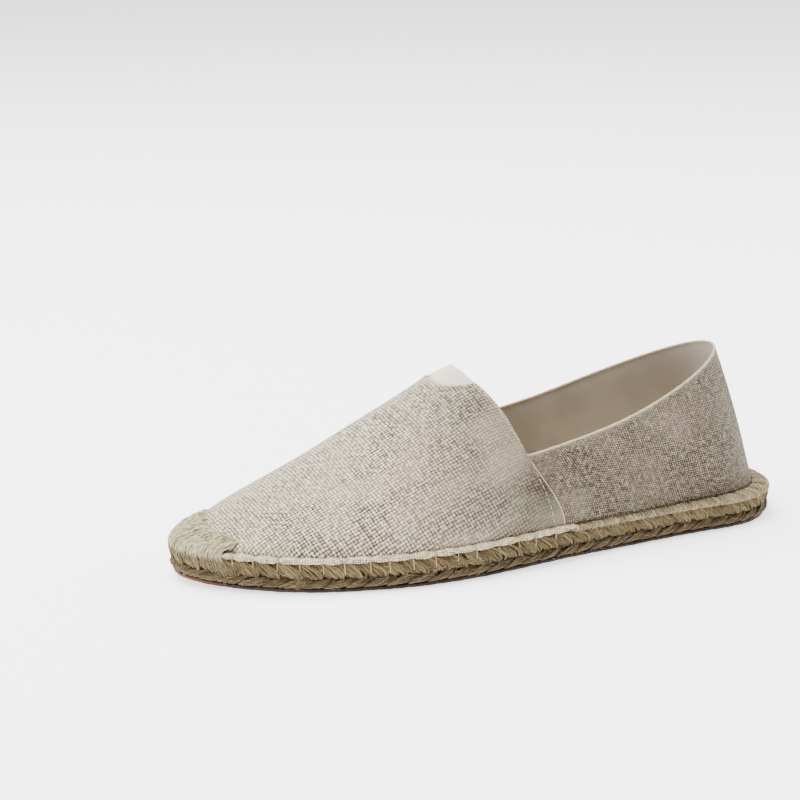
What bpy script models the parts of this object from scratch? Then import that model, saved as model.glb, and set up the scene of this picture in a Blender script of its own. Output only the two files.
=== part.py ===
"""Left espadrille: rubber sheet, braided jute sole, linen upper, elastic tab, wrapped toe.

The toe points along +Y, the medial side is +X and the floor is z = 0.
"""
import math
from collections import namedtuple

import bpy
import numpy as np

# Sizes of the whole shoe, in metres
SHOE_LENGTH = 0.284
BALL_WIDTH = 0.0975
INSTEP_HEIGHT = 0.067
HEEL_HEIGHT = 0.0660
COLLAR_WIDTH = 0.060

# Sole
SHEET_THICK = 0.0020
SHEET_INSET = 0.0015
SHEET_BEVEL = 0.0004
SOLE_TOP = 0.0128
TOE_SPRING = 0.0025
ARCH_LIFT = 0.0008
HEEL_ROUND = 0.036
TOE_ROUND = 0.066
TOE_SQUARE = 2.15
BRAID_PITCH = 0.0090
BRAID_SLANT = 0.0042
BRAID_RELIEF = 0.0009
INSOLE_THICK = 0.0025
INSOLE_EASE = 0.0008
INSOLE_TOE = 0.0025
INSOLE_SOFT = 0.0012
INSOLE_SOFT_TOE = 0.0030
INSOLE_BEVEL = 0.0006

# Upper
WALL = 0.0014
VAMP_STEP = 0.0008
SEAM_BEVEL = 0.0009
SIDE_LIP = 0.0032
HEEL_LIP = 0.0072
TOE_LIP = 0.0068
HEM_LIP = 0.0006
CREASE_RISE = 0.0024
HEEL_CREASE_RISE = 0.0014
CREASE_SPAN = (0.15, 0.42)
QUARTER_BULGE = 0.0012
HEM_HEEL = 0.0010
HEM_TUCK = 0.10
HEM_EDGE = 0.45
HEM_SHOULDER = 0.80

# Elastic tab and wrapped toe
TAB_THICK = 0.0012
TAB_TUCK = 0.0070
TAB_SIDE = 0.0035
TAB_RISE = 0.0019
TAB_GAP = 0.0005
TAB_SET_BACK = 0.0020
TAB_SHOWN = 0.0016
TAB_MARGIN = 0.0010
TAB_SWELL = 0.0060
CAP_THICK = 0.0010
CAP_RIB = 0.0003
CAP_SIDE = 0.0042
CAP_MIDDLE = 0.0112
CAP_BEYOND = 0.0080
CAP_THINNING = 0.60
CAP_BEVEL = 0.0015
GAP = 0.0003

# Places along the shoe, as shares of its length from the heel
COLLAR_BACK = 0.093
COLLAR_ROUND = 0.239
SEAM_FOOT = 0.425
CORNER = 0.477
THROAT_FRONT = 0.543
CAP_END = 0.930
SPRING_START = 0.78
ARCH_SPAN = (0.30, 0.58)
HEEL_LIP_SPAN = (0.05, 0.30)
QUARTER_CENTRE = (0.15, 0.20)
DRAPE_START = 0.22
DRAPE_RISE = (0.010, 0.022)

# Shape of the collar, and of the throat across the foot
COLLAR_FLARE = 0.12
COLLAR_DIP = 1.37
THROAT_BEND = 1.4
THROAT_ROUND = 0.25
NOTCH_CENTRE = 0.0040
NOTCH_HALF = 0.0170
NOTCH_DEPTH = 0.0098
NOTCH_SQUARE = 5.0

Plan = namedtuple("Plan", "along centre half_width")
SOLE_PLAN = [
    Plan(0.00, -0.012, 0.350),
    Plan(0.12, -0.006, 0.337),
    Plan(0.30, -0.020, 0.370),
    Plan(0.50, -0.030, 0.455),
    Plan(0.68, -0.005, 0.500),
    Plan(0.82, 0.045, 0.464),
    Plan(1.00, 0.035, 0.330),
]

Last = namedtuple("Last", "along ridge fullness lean")
LAST = [
    Last(0.30, 0.75, 1.82, 0.12),
    Last(0.45, 0.73, 1.82, 0.12),
    Last(0.50, 0.96, 1.82, 0.12),
    Last(0.56, 0.935, 1.84, 0.12),
    Last(0.60, 0.835, 1.84, 0.12),
    Last(0.70, 0.612, 1.68, 0.10),
    Last(0.80, 0.365, 1.73, 0.06),
    Last(0.90, 0.184, 1.95, 0.00),
    Last(0.94, 0.105, 2.05, 0.00),
    Last(1.00, 0.060, 2.20, 0.00),
]

Braid = namedtuple("Braid", "height inset relief slant")
BRAID_ROWS = [
    Braid(0.00, 0.0014, 0.2, 1.00),
    Braid(0.12, 0.0004, 1.0, 0.78),
    Braid(0.33, 0.0003, 1.0, 0.30),
    Braid(0.46, 0.0013, 0.0, 0.00),
    Braid(0.60, 0.0002, 1.0, 0.28),
    Braid(0.86, 0.0002, 1.0, 0.80),
    Braid(1.00, 0.0012, 0.2, 1.00),
]

Inset = namedtuple("Inset", "side heel toe")
FEATHER = Inset(SIDE_LIP, HEEL_LIP, TOE_LIP)

Look = namedtuple("Look", "red green blue roughness")
RUBBER = Look(0.11, 0.05, 0.03, 0.55)
JUTE = Look(0.42, 0.34, 0.21, 0.85)
LINEN = Look(0.60, 0.54, 0.48, 0.80)
ELASTIC = Look(0.74, 0.71, 0.62, 0.70)
COTTON = Look(0.50, 0.44, 0.34, 0.80)


# Curves through the tables

def curve(rows, column, along):
    """A smooth curve through one column of a table, read at shares of the length."""
    xs = np.array([row.along for row in rows], float)
    ys = np.array([getattr(row, column) for row in rows], float)
    s = np.clip(np.asarray(along, float), xs[0], xs[-1])
    step = np.diff(xs)
    slope = np.diff(ys) / step
    inner = (slope[:-1] * step[1:] + slope[1:] * step[:-1]) / (step[:-1] + step[1:])
    tangent = np.concatenate([slope[:1], inner, slope[-1:]])
    i = np.clip(np.searchsorted(xs, s, side="right") - 1, 0, len(step) - 1)
    t = (s - xs[i]) / step[i]
    start = ys[i] * (2 * t ** 3 - 3 * t ** 2 + 1) + tangent[i] * step[i] * (t ** 3 - 2 * t ** 2 + t)
    end = ys[i + 1] * (3 * t ** 2 - 2 * t ** 3) + tangent[i + 1] * step[i] * (t ** 3 - t ** 2)
    return start + end


def ease(t):
    """A soft step from 0 to 1."""
    t = np.clip(t, 0.0, 1.0)
    return t * t * (3.0 - 2.0 * t)


def share(y):
    return np.asarray(y, float) / SHOE_LENGTH + 0.5


def place(along):
    return (along - 0.5) * SHOE_LENGTH


def lift(y):
    """How far the sole stands off the floor: toe spring and a slight arch."""
    s = share(y)
    spring = TOE_SPRING * np.clip((s - SPRING_START) / (1.0 - SPRING_START), 0, 1) ** 2
    half = (ARCH_SPAN[1] - ARCH_SPAN[0]) / 2
    arch = ARCH_LIFT * ease(1.0 - np.abs(s - ARCH_SPAN[0] - half) / half)
    return spring + arch


def crease_rise(y):
    """Height of the crease over the sole: lower round the heel, where the hem is thin."""
    blend = ease((share(y) - CREASE_SPAN[0]) / (CREASE_SPAN[1] - CREASE_SPAN[0]))
    return HEEL_CREASE_RISE + (CREASE_RISE - HEEL_CREASE_RISE) * blend


# The outline of the sole and its inset rings

def toe_rounding(y, toe_inset):
    t = np.clip((y - SHOE_LENGTH / 2 + TOE_ROUND) / (TOE_ROUND - toe_inset), 0, 1)
    return (1 - t ** TOE_SQUARE) ** (1 / TOE_SQUARE)


def section(y, inset):
    """Centre and half width of an inset outline at y."""
    s = share(y)
    heel = np.clip((HEEL_ROUND - SHOE_LENGTH / 2 - y) / (HEEL_ROUND - inset.heel), 0, 1)
    blend = ease((s - HEEL_LIP_SPAN[0]) / (HEEL_LIP_SPAN[1] - HEEL_LIP_SPAN[0]))
    side = inset.heel + (inset.side - inset.heel) * blend
    half = BALL_WIDTH * curve(SOLE_PLAN, "half_width", s) - side
    half = half * np.sqrt(1 - heel ** 2) * toe_rounding(y, inset.toe)
    return BALL_WIDTH * curve(SOLE_PLAN, "centre", s), half


def sides(inset):
    """The lateral and medial halves of an inset outline, both from heel to toe."""
    back = -SHOE_LENGTH / 2 + inset.heel
    front = SHOE_LENGTH / 2 - inset.toe
    turn = np.linspace(0, math.pi, 1601)
    y = back + (front - back) * (1 - np.cos(turn)) / 2
    centre, half = section(y, inset)
    return np.stack([centre - half, y], -1), np.stack([centre + half, y], -1)


def arc_shares(points):
    steps = np.linalg.norm(np.diff(points, axis=0), axis=1)
    arc = np.concatenate([[0], np.cumsum(steps)])
    return arc / arc[-1]


def along_line(points, shares):
    """Points at shares of the length of a polyline."""
    arc = arc_shares(points)
    return np.stack([np.interp(shares, arc, column) for column in points.T], -1)


def ring(inset, fractions):
    """Points of an inset outline; 0 is the heel's back, one half the tip of the toe."""
    lateral, medial = sides(inset)
    f = np.mod(np.asarray(fractions, float), 1.0)
    left = along_line(lateral, np.clip(2 * f, 0, 1))
    right = along_line(medial, np.clip(2 - 2 * f, 0, 1))
    return np.where((f <= 0.5)[:, None], left, right)


def fraction_at(inset, along, medial):
    line = sides(inset)[1 if medial else 0]
    half = np.interp(place(along), line[:, 1], arc_shares(line)) / 2
    return 1 - half if medial else half


def half_length():
    """Length of the outline from heel to toe on the lateral side."""
    line = sides(Inset(0, 0, 0))[0]
    return np.linalg.norm(np.diff(line, axis=0), axis=1).sum()


# The surface of the foot above the crease

def height_over(x, y):
    """Height of the linen above the sole's top, from the table of sections."""
    centre, half = section(y, FEATHER)
    s = share(y)
    d = np.clip((x - centre) / np.maximum(half, 1e-9), -1, 1)
    d = np.clip(d - curve(LAST, "lean", s) * (1 - d * d), -1, 1)
    full = curve(LAST, "fullness", s)
    ridge = INSTEP_HEIGHT * curve(LAST, "ridge", s) * toe_rounding(y, FEATHER.toe)
    return crease_rise(y) + ridge * (1 - np.abs(d) ** full) ** (1 / full)


def lay(plan):
    """Plan points lifted onto the linen's surface."""
    x, y = plan[..., 0], plan[..., 1]
    return np.stack([x, y, SOLE_TOP + lift(y) + height_over(x, y)], -1)


def surface_normals(plan):
    step = 0.0004
    x, y = plan[..., 0], plan[..., 1]
    rise = [height_over(x + a, y + b) for a, b in ((step, 0), (-step, 0), (0, step), (0, -step))]
    slope_x = (rise[0] - rise[1]) / (2 * step)
    slope_y = (rise[2] - rise[3]) / (2 * step)
    n = np.stack([-slope_x, -slope_y, np.ones_like(x)], -1)
    return n / np.linalg.norm(n, axis=-1, keepdims=True)


# The collar and the throat

def collar_half(s):
    back = np.clip((COLLAR_BACK + COLLAR_ROUND - s) / COLLAR_ROUND, 0, 1)
    flare = 1 + COLLAR_FLARE * (s - COLLAR_BACK) / (CORNER - COLLAR_BACK)
    return COLLAR_WIDTH / 2 * flare * np.sqrt(1 - back ** 2)


CORNER_HALF = float(collar_half(CORNER))


def throat_share(x):
    """Where the throat line lies along the shoe, across the instep."""
    reach = np.clip(np.abs(x) / CORNER_HALF, 0, 1)
    half = THROAT_BEND / 2
    flat, full = THROAT_ROUND ** THROAT_BEND, (1 + THROAT_ROUND ** 2) ** half
    back = ((reach ** 2 + THROAT_ROUND ** 2) ** half - flat) / (full - flat)
    return THROAT_FRONT - (THROAT_FRONT - CORNER) * back


def linen_edge(x):
    """The linen's edge across the instep, with the notch that shows the elastic."""
    notch = 1 - np.clip(np.abs(x - NOTCH_CENTRE) / NOTCH_HALF, 0, 1) ** NOTCH_SQUARE
    return place(throat_share(x)) + NOTCH_DEPTH * notch


def collar_line(sign):
    """The quarter's top edge on one side, from the heel's back to the corner."""
    turn = np.linspace(0, 1, 401) ** 2
    s = COLLAR_BACK + (CORNER - COLLAR_BACK) * turn
    x = sign * collar_half(s)
    corner = height_over(np.array([-CORNER_HALF]), np.array([place(CORNER)]))[0]
    rest = 1 - (s - COLLAR_BACK) / (CORNER - COLLAR_BACK)
    z = corner + (HEEL_HEIGHT - corner) * rest ** COLLAR_DIP
    y = place(s)
    return np.stack([x, y, SOLE_TOP + lift(y) + z], -1)


def throat_line(sign):
    """The vamp's edge on one side, from the corner to the middle of the notch."""
    x = np.linspace(CORNER_HALF, 0, 801)
    edge = linen_edge(sign * x)
    own = lay(np.stack([sign * x, edge], -1))
    lateral = lay(np.stack([-x, edge], -1))
    flat = NOTCH_CENTRE + NOTCH_HALF + TAB_SIDE
    even = ease((x - flat) / (CORNER_HALF - flat))
    own[:, 2] += (lateral[:, 2] - own[:, 2]) * even
    return own


# Columns of the upper, from the crease to its top edge

REAR_COLUMNS = 13
REAR_CROWDING = 1.3
VAMP_COLUMNS = 20
TOE_COLUMNS = 9
NOTCH_COLUMN = 13
NEAR_ROWS = 6
FAR_ROWS = 7


def side_columns(medial):
    """Fractions of the feather line on one side, from heel to toe, and what each is."""
    whole = 2 * half_length()
    seam = fraction_at(FEATHER, SEAM_FOOT, medial)
    cap = fraction_at(FEATHER, CAP_END, medial)
    step = SEAM_BEVEL / whole * (-1 if medial else 1)
    heel = 1.0 if medial else 0.0
    rear = heel + (seam - heel) * np.linspace(0, 1, REAR_COLUMNS + 1) ** REAR_CROWDING
    vamp = np.linspace(seam + step, cap, VAMP_COLUMNS)
    toe = np.linspace(cap + step, 0.5, TOE_COLUMNS + 1)
    return rear, vamp, toe


def column_table():
    """Feet, tops and marks of every column, once round the shoe."""
    parts = []
    for medial in (False, True):
        rear, vamp, toe = side_columns(medial)
        sign = 1 if medial else -1
        front = np.concatenate([vamp, toe])
        f = np.concatenate([rear, front])
        collar = along_line(collar_line(sign), (rear - rear[0]) / (rear[-1] - rear[0]))
        throat = throat_line(sign)
        length = np.linalg.norm(np.diff(throat, axis=0), axis=1).sum()
        notch = sign * (NOTCH_CENTRE + sign * NOTCH_HALF)
        turn = np.interp(-notch, -np.abs(throat[:, 0]), arc_shares(throat))
        t = (front - front[0]) / (front[-1] - front[0])
        reach = np.interp(t, [0, t[NOTCH_COLUMN], 1], [SEAM_BEVEL / length, turn, 1])
        top = np.concatenate([collar, along_line(throat, reach)])
        vamp_mark = np.concatenate([np.zeros(len(rear)), np.ones(len(front))])
        toe_mark = np.concatenate([np.zeros(len(rear) + len(vamp)), np.ones(len(toe))])
        rows = [np.asarray(a) for a in (f, top, vamp_mark, toe_mark)]
        if medial:
            rows = [a[::-1][1:-1] for a in rows]
        parts.append(rows)
    f, top, vamp_mark, toe_mark = [np.concatenate(pair) for pair in zip(*parts)]
    return f, ring(FEATHER, f), top, vamp_mark, toe_mark


def cap_reach(f):
    """Length of the near rows up the linen: the width of the wrapped toe."""
    out = np.abs(f - 0.5) / (0.5 - fraction_at(FEATHER, CAP_END, False))
    bow = (CAP_MIDDLE - CAP_SIDE) * np.clip(1 - out ** 2, 0, 1)
    return CAP_SIDE + bow + CAP_BEYOND * ease((out - 1) / 1.5)


def resample(lines, near):
    """Rows at even lengths: the near ones first, then the rest up to the edge."""
    out = []
    for line, reach in zip(lines, near):
        arc = arc_shares(line)
        total = np.linalg.norm(np.diff(line, axis=0), axis=1).sum()
        split = min(reach / total, 0.6)
        low = np.linspace(0, split, NEAR_ROWS + 1)
        high = np.linspace(split, 1, FAR_ROWS + 1)[1:]
        shares = np.concatenate([low, high])
        out.append(np.stack([np.interp(shares, arc, c) for c in line.T], -1))
    return np.array(out)


def base_grid(f, foot, top, vamp_mark):
    """The upper's base surface: one row of points for each column."""
    t = np.linspace(0, 1, 241) ** 2
    plan = foot[:, None] + (top[:, None, :2] - foot[:, None]) * t[None, :, None]
    draped = lay(plan)
    draped[:, 0, 2] = SOLE_TOP + lift(foot[:, 1]) + crease_rise(foot[:, 1])
    start = draped[:, :1, 2]
    rise = np.maximum(draped[:, -1:, 2] - start, 1e-5)
    draped[..., 2] = start + (draped[..., 2] - start) * (top[:, None, 2] - start) / rise
    foot3 = draped[:, 0]
    middle = BALL_WIDTH * curve(SOLE_PLAN, "centre", QUARTER_CENTRE[0]), place(QUARTER_CENTRE[1])
    out = foot3[:, :2] - np.array(middle)
    out = np.concatenate([out / np.linalg.norm(out, axis=1)[:, None], np.zeros((len(f), 1))], 1)
    even = np.linspace(0, 1, 241)
    straight = foot3[:, None] + (top - foot3)[:, None] * even[None, :, None]
    straight = straight + out[:, None] * (QUARTER_BULGE * np.sin(math.pi * even))[None, :, None]
    near = cap_reach(f)
    rounded = resample(draped, near)
    walled = resample(straight, near)
    steep = ease((rise[:, 0] - DRAPE_RISE[0]) / (DRAPE_RISE[1] - DRAPE_RISE[0]))
    weight = ease((share(foot[:, 1]) - DRAPE_START) / (SEAM_FOOT - DRAPE_START)) * steep
    weight = np.where(vamp_mark > 0, 1.0, weight)
    return walled + (rounded - walled) * weight[:, None, None]


def grid_normals(grid):
    """Outward normals of a grid of columns that closes on itself."""
    along = np.roll(grid, -1, 0) - np.roll(grid, 1, 0)
    up = np.gradient(grid, axis=1)
    n = np.cross(up, along)
    return n / np.linalg.norm(n, axis=-1, keepdims=True)


# Solids from rings of points

def paint(look):
    material = bpy.data.materials.new("finish")
    material.use_nodes = True
    shader = material.node_tree.nodes["Principled BSDF"]
    shader.inputs["Base Color"].default_value = (look.red, look.green, look.blue, 1.0)
    shader.inputs["Roughness"].default_value = look.roughness
    return material


def solid(name, points, faces, look):
    mesh = bpy.data.meshes.new(name)
    mesh.from_pydata([tuple(map(float, p)) for p in points], [], faces)
    mesh.validate()
    mesh.update()
    piece = bpy.data.objects.new(name, mesh)
    bpy.context.scene.collection.objects.link(piece)
    mesh.materials.append(paint(look))
    mesh.materials[0].name = name + "_finish"
    return piece


def band(low, high, flip=False):
    """Triangles between two closed rings of the same count, given as index lists."""
    faces = []
    count = len(low)
    for i in range(count):
        j = (i + 1) % count
        a, b, c, d = low[i], low[j], high[j], high[i]
        faces += [(a, c, b), (a, d, c)] if not flip else [(a, b, c), (a, c, d)]
    return faces


def ladder(ring_points, first, up):
    """Close a ring with rungs across the shoe, heel to toe."""
    count = len(ring_points)
    y = ring_points[:, 1]
    back, front = int(np.argmin(y)), int(np.argmax(y))
    left = [(back + k) % count for k in range((front - back) % count + 1)]
    right = [(back - k) % count for k in range((back - front) % count + 1)]
    i = j = 0
    faces = []
    while i < len(left) - 1 or j < len(right) - 1:
        go_left = j == len(right) - 1 or (i < len(left) - 1 and y[left[i + 1]] <= y[right[j + 1]])
        if go_left:
            face = (left[i], left[i + 1], right[j])
            i += 1
        else:
            face = (left[i], right[j + 1], right[j])
            j += 1
        if len(set(face)) == 3:
            faces.append(tuple(first + k for k in (face if not up else face[::-1])))
    return faces


def loft(name, rings, look):
    """A solid skinned over closed rings from bottom to top, shut at both ends."""
    count = len(rings[0])
    points = np.concatenate(rings)
    faces = []
    for k in range(len(rings) - 1):
        low = list(range(k * count, (k + 1) * count))
        faces += band(low, [i + count for i in low])
    last = (len(rings) - 1) * count
    faces += ladder(rings[0], 0, False)
    faces += ladder(rings[-1], last, True)
    return solid(name, points, faces, look)


def raised(plan, z):
    return np.concatenate([plan, (z + lift(plan[:, 1]))[:, None]], 1)


# The pieces

def build_outsole():
    f = np.linspace(0, 1, 96, endpoint=False)
    low = raised(ring(Inset(*[SHEET_INSET + SHEET_BEVEL] * 3), f), 0.0)
    high = raised(ring(Inset(*[SHEET_INSET] * 3), f), SHEET_THICK)
    return loft("outsole", [low, high], RUBBER)


def build_jute_sole():
    leaves = int(round(2 * half_length() / BRAID_PITCH))
    columns = 3 * leaves
    f = np.arange(columns) / columns
    groove = (np.arange(columns) % 3 == 0).astype(float)
    bottom = SHEET_THICK + GAP
    rings = []
    for row in BRAID_ROWS:
        shift = row.slant * BRAID_SLANT / (2 * half_length())
        crest = ring(Inset(*[row.inset] * 3), f + shift)
        sunk = ring(Inset(*[row.inset + BRAID_RELIEF * row.relief] * 3), f + shift)
        plan = crest + (sunk - crest) * groove[:, None]
        rings.append(raised(plan, bottom + (SOLE_TOP - bottom) * row.height))
    return loft("jute_sole", rings, JUTE)


def build_insole():
    f = np.linspace(0, 1, 96, endpoint=False)
    edge = WALL + INSOLE_EASE
    inset = Inset(SIDE_LIP + edge, HEEL_LIP + edge, TOE_LIP + edge + INSOLE_TOE)
    soft = Inset(inset.side + INSOLE_SOFT, inset.heel + INSOLE_SOFT, inset.toe + INSOLE_SOFT_TOE)
    low = raised(ring(inset, f), SOLE_TOP + GAP)
    mid = raised(ring(inset, f), SOLE_TOP + GAP + INSOLE_THICK - INSOLE_BEVEL)
    high = raised(ring(soft, f), SOLE_TOP + GAP + INSOLE_THICK)
    return loft("insole", [low, mid, high], COTTON)


def build_upper(table):
    f, foot, top, vamp_mark, toe_mark = table
    grid = base_grid(f, foot, top, vamp_mark)
    normal = grid_normals(grid)
    outer = grid + normal * (VAMP_STEP * vamp_mark)[:, None, None]
    kept = list(range(NEAR_ROWS + FAR_ROWS, NEAR_ROWS, -1)) + list(range(NEAR_ROWS, -1, -2))
    inner = (grid - normal * WALL)[:, kept]
    level = SOLE_TOP + GAP
    hem = ring(Inset(HEM_LIP, HEM_LIP + HEM_HEEL, HEM_LIP), f)
    tucked = foot + (hem - foot) * HEM_TUCK
    edge = np.where(toe_mark[:, None] > 0, tucked, hem)
    shelf = foot + (edge - foot) * HEM_EDGE
    inward = (foot - hem) / np.linalg.norm(foot - hem, axis=1)[:, None]
    lower = raised(foot + inward * WALL, level)
    crease = crease_rise(foot[:, 1])
    profile = [
        lower,
        raised(edge, level),
        raised(edge, level + crease * HEM_EDGE),
        raised(shelf, level + crease * HEM_SHOULDER),
    ]
    profile += [outer[:, k] for k in range(outer.shape[1])]
    profile += [inner[:, k] for k in range(inner.shape[1])]
    count = len(f)
    faces = []
    for k in range(len(profile)):
        low = [k * count + i for i in range(count)]
        high = [((k + 1) % len(profile)) * count + i for i in range(count)]
        faces += band(low, high)
    return solid("upper", np.concatenate(profile), faces, LINEN), grid


def build_tab():
    """Elastic under the notch: a thin sheet that rises into the opening."""
    half = np.array([0.0, 0.22, 0.42, 0.60, 0.75, 0.87, 0.95, 1.0]) * NOTCH_HALF
    across = np.concatenate([[-NOTCH_HALF - TAB_SIDE], -half[::-1], half[1:], [NOTCH_HALF + TAB_SIDE]])
    x = NOTCH_CENTRE + across
    hidden = np.abs(across) > NOTCH_HALF
    rear = place(throat_share(x)) + np.where(hidden, TAB_SET_BACK, 0.0)
    edge = np.maximum(linen_edge(x), rear + TAB_SHOWN)
    front = edge + TAB_TUCK
    rows = [rear + (edge - rear) * t for t in (0.0, 0.25, 0.5, 0.7, 0.85, 1.0)]
    rows += [edge + (front - edge) * t for t in (0.35, 0.7, 1.0)]
    plan = np.stack([np.stack([x, y], -1) for y in rows])
    middle = ease((NOTCH_HALF - TAB_MARGIN - np.abs(across)) / (NOTCH_HALF / 4))
    inward = ease((edge[None] - TAB_MARGIN - plan[..., 1]) / TAB_SWELL)
    depth = WALL + TAB_GAP - TAB_RISE * middle * inward
    base, normal = lay(plan), surface_normals(plan)
    upper_side = base - normal * depth[..., None]
    under_side = base - normal * (depth + TAB_THICK)[..., None]
    return sheet("throat_gusset", upper_side, under_side, ELASTIC)


def sheet(name, top_side, under_side, look):
    """A solid between two grids of the same shape."""
    rows, columns = top_side.shape[:2]
    count = rows * columns
    points = np.concatenate([top_side.reshape(-1, 3), under_side.reshape(-1, 3)])
    faces = []
    for r in range(rows - 1):
        for c in range(columns - 1):
            a, b = r * columns + c, r * columns + c + 1
            d, e = a + columns, b + columns
            faces += [(a, b, e), (a, e, d)]
            faces += [(a + count, e + count, b + count), (a + count, d + count, e + count)]
    rim = [c for c in range(columns)]
    rim += [r * columns + columns - 1 for r in range(1, rows)]
    rim += [(rows - 1) * columns + c for c in range(columns - 2, -1, -1)]
    rim += [r * columns for r in range(rows - 2, 0, -1)]
    faces += band(rim, [i + count for i in rim])
    return solid(name, points, faces, look)


def build_cap(table, grid):
    """Jute threads wrapped over the toe: a crescent between two shells of the linen's form."""
    f, foot, top, vamp_mark, toe_mark = table
    inside = np.where(toe_mark > 0)[0][1:-1]
    normal = grid_normals(grid)
    split = 3
    places = np.linspace(inside[0], inside[-1], (len(inside) - 1) * split + 1)
    low = np.minimum(places.astype(int), inside[-1] - 1)
    mix = places - low

    def between(values):
        shape = (-1,) + (1,) * (values.ndim - 1)
        return values[low] + (values[low + 1] - values[low]) * mix.reshape(shape)

    frac = between(f)
    out = between(normal)[:, :NEAR_ROWS + 1]
    rib = CAP_RIB * np.where(np.arange(len(frac)) % 2 == 0, -1.0, 1.0)
    taper = 1 - CAP_THINNING * np.linspace(0, 1, NEAR_ROWS + 1) ** 2
    inner_side = between(grid + normal * (VAMP_STEP + GAP))[:, :NEAR_ROWS + 1]
    outer_side = inner_side + out * ((CAP_THICK + rib[:, None]) * taper)[..., None]
    level = SOLE_TOP + GAP
    edge = ring(Inset(*[CAP_RIB] * 3), frac)
    full = ring(Inset(0, 0, 0), frac)
    root = inner_side[:, 0, :2]
    ribbed = full - out[:, 0, :2] * (CAP_RIB - rib)[:, None]
    shoulder = ribbed + (outer_side[:, 1, :2] - ribbed) * 0.35
    high = outer_side[:, 1, 2] - SOLE_TOP - lift(outer_side[:, 1, 1])
    profile = [
        raised(root, level),
        raised(edge, level),
        raised(ribbed, level + CAP_BEVEL),
        raised(shoulder, SOLE_TOP + 0.72 * high),
    ]
    profile += [outer_side[:, k] for k in range(1, NEAR_ROWS + 1)]
    profile += [inner_side[:, k] for k in range(NEAR_ROWS, 0, -1)]
    profile += [inner_side[:, 0]]
    loops = np.stack(profile, 1)
    rows = loops.shape[1]
    faces = []
    for c in range(len(loops) - 1):
        here = [c * rows + k for k in range(rows)]
        faces += band(here, [i + rows for i in here], flip=True)
    last = (len(loops) - 1) * rows
    pairs = [(k, k + 1, rows - 1 - k, rows - 2 - k) for k in range(rows // 2 - 1)]
    for a, b, d, e in pairs:
        faces += [(a, e, b), (a, d, e)]
        faces += [(last + a, last + b, last + e), (last + a, last + e, last + d)]
    if rows % 2:
        k = rows // 2
        faces += [(k - 1, k + 1, k), (last + k - 1, last + k, last + k + 1)]
    return solid("toe_cap", loops.reshape(-1, 3), faces, JUTE)


for thing in list(bpy.data.objects):
    bpy.data.objects.remove(thing, do_unlink=True)

build_outsole()
build_jute_sole()
build_insole()
columns = column_table()
linen, linen_grid = build_upper(columns)
build_tab()
build_cap(columns, linen_grid)
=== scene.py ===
# %% [markdown]
# A left espadrille is a linen slipper sewn to a flat sole of braided jute.
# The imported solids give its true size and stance, and this lesson dresses them.
# Each cloth, cord and braid is built as its own mesh around those solids.

# %% Load the frame and keep its box
import math
from collections import namedtuple

import bpy
import numpy as np
from mathutils import Matrix, Vector


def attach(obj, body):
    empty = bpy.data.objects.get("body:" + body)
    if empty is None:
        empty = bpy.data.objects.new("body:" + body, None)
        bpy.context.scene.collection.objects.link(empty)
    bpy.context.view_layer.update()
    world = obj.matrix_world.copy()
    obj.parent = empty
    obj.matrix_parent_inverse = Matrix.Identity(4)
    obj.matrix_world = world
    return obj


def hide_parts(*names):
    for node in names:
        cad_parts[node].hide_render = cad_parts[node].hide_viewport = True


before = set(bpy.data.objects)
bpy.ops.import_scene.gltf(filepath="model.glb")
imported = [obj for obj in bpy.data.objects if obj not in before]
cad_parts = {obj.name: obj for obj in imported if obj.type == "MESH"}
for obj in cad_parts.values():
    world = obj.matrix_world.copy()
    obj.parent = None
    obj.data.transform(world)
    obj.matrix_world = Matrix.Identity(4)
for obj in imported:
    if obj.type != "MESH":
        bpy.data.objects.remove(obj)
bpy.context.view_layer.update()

# %% [markdown]
# Every piece follows the sole's outline and the form of the last, the wooden foot.
# Both are short tables of sections, from the heel's back (0) to the tip of the toe (1).
# A smooth curve runs through each column, so the cloth has no flat spots between rows.

# %% Sizes of the shoe, in metres
SHOE_LENGTH = 0.284
BALL_WIDTH = 0.0975
INSTEP_HEIGHT = 0.067
HEEL_HEIGHT = 0.0660
COLLAR_WIDTH = 0.060
SOLE_TOP = 0.0128
SOLE_BOTTOM = 0.0023
TOE_SPRING = 0.0025
ARCH_LIFT = 0.0008
HEEL_ROUND, TOE_ROUND, TOE_SQUARE = 0.036, 0.066, 2.15
SIDE_LIP, HEEL_LIP, TOE_LIP = 0.0032, 0.0072, 0.0068
CREASE_RISE, HEEL_CREASE_RISE = 0.0024, 0.0014
WALL = 0.0014
VAMP_STEP = 0.0008

# Spans of these forms, as shares of the shoe's length
SPRING_START = 0.78
ARCH_MIDDLE, ARCH_REACH = 0.44, 0.14
CREASE_SPAN = (0.15, 0.42)
HEEL_LIP_SPAN = (0.05, 0.30)

Plan = namedtuple("Plan", "along centre half_width")
SOLE_PLAN = [
    Plan(0.00, -0.012, 0.350),
    Plan(0.12, -0.006, 0.337),
    Plan(0.30, -0.020, 0.370),
    Plan(0.50, -0.030, 0.455),
    Plan(0.68, -0.005, 0.500),
    Plan(0.82, 0.045, 0.464),
    Plan(1.00, 0.035, 0.330),
]

Last = namedtuple("Last", "along ridge fullness lean")
LAST = [
    Last(0.30, 0.75, 1.82, 0.12),
    Last(0.45, 0.73, 1.82, 0.12),
    Last(0.50, 0.96, 1.82, 0.12),
    Last(0.56, 0.935, 1.84, 0.12),
    Last(0.60, 0.835, 1.84, 0.12),
    Last(0.70, 0.612, 1.68, 0.10),
    Last(0.80, 0.365, 1.73, 0.06),
    Last(0.90, 0.184, 1.95, 0.00),
    Last(0.94, 0.105, 2.05, 0.00),
    Last(1.00, 0.060, 2.20, 0.00),
]


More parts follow.
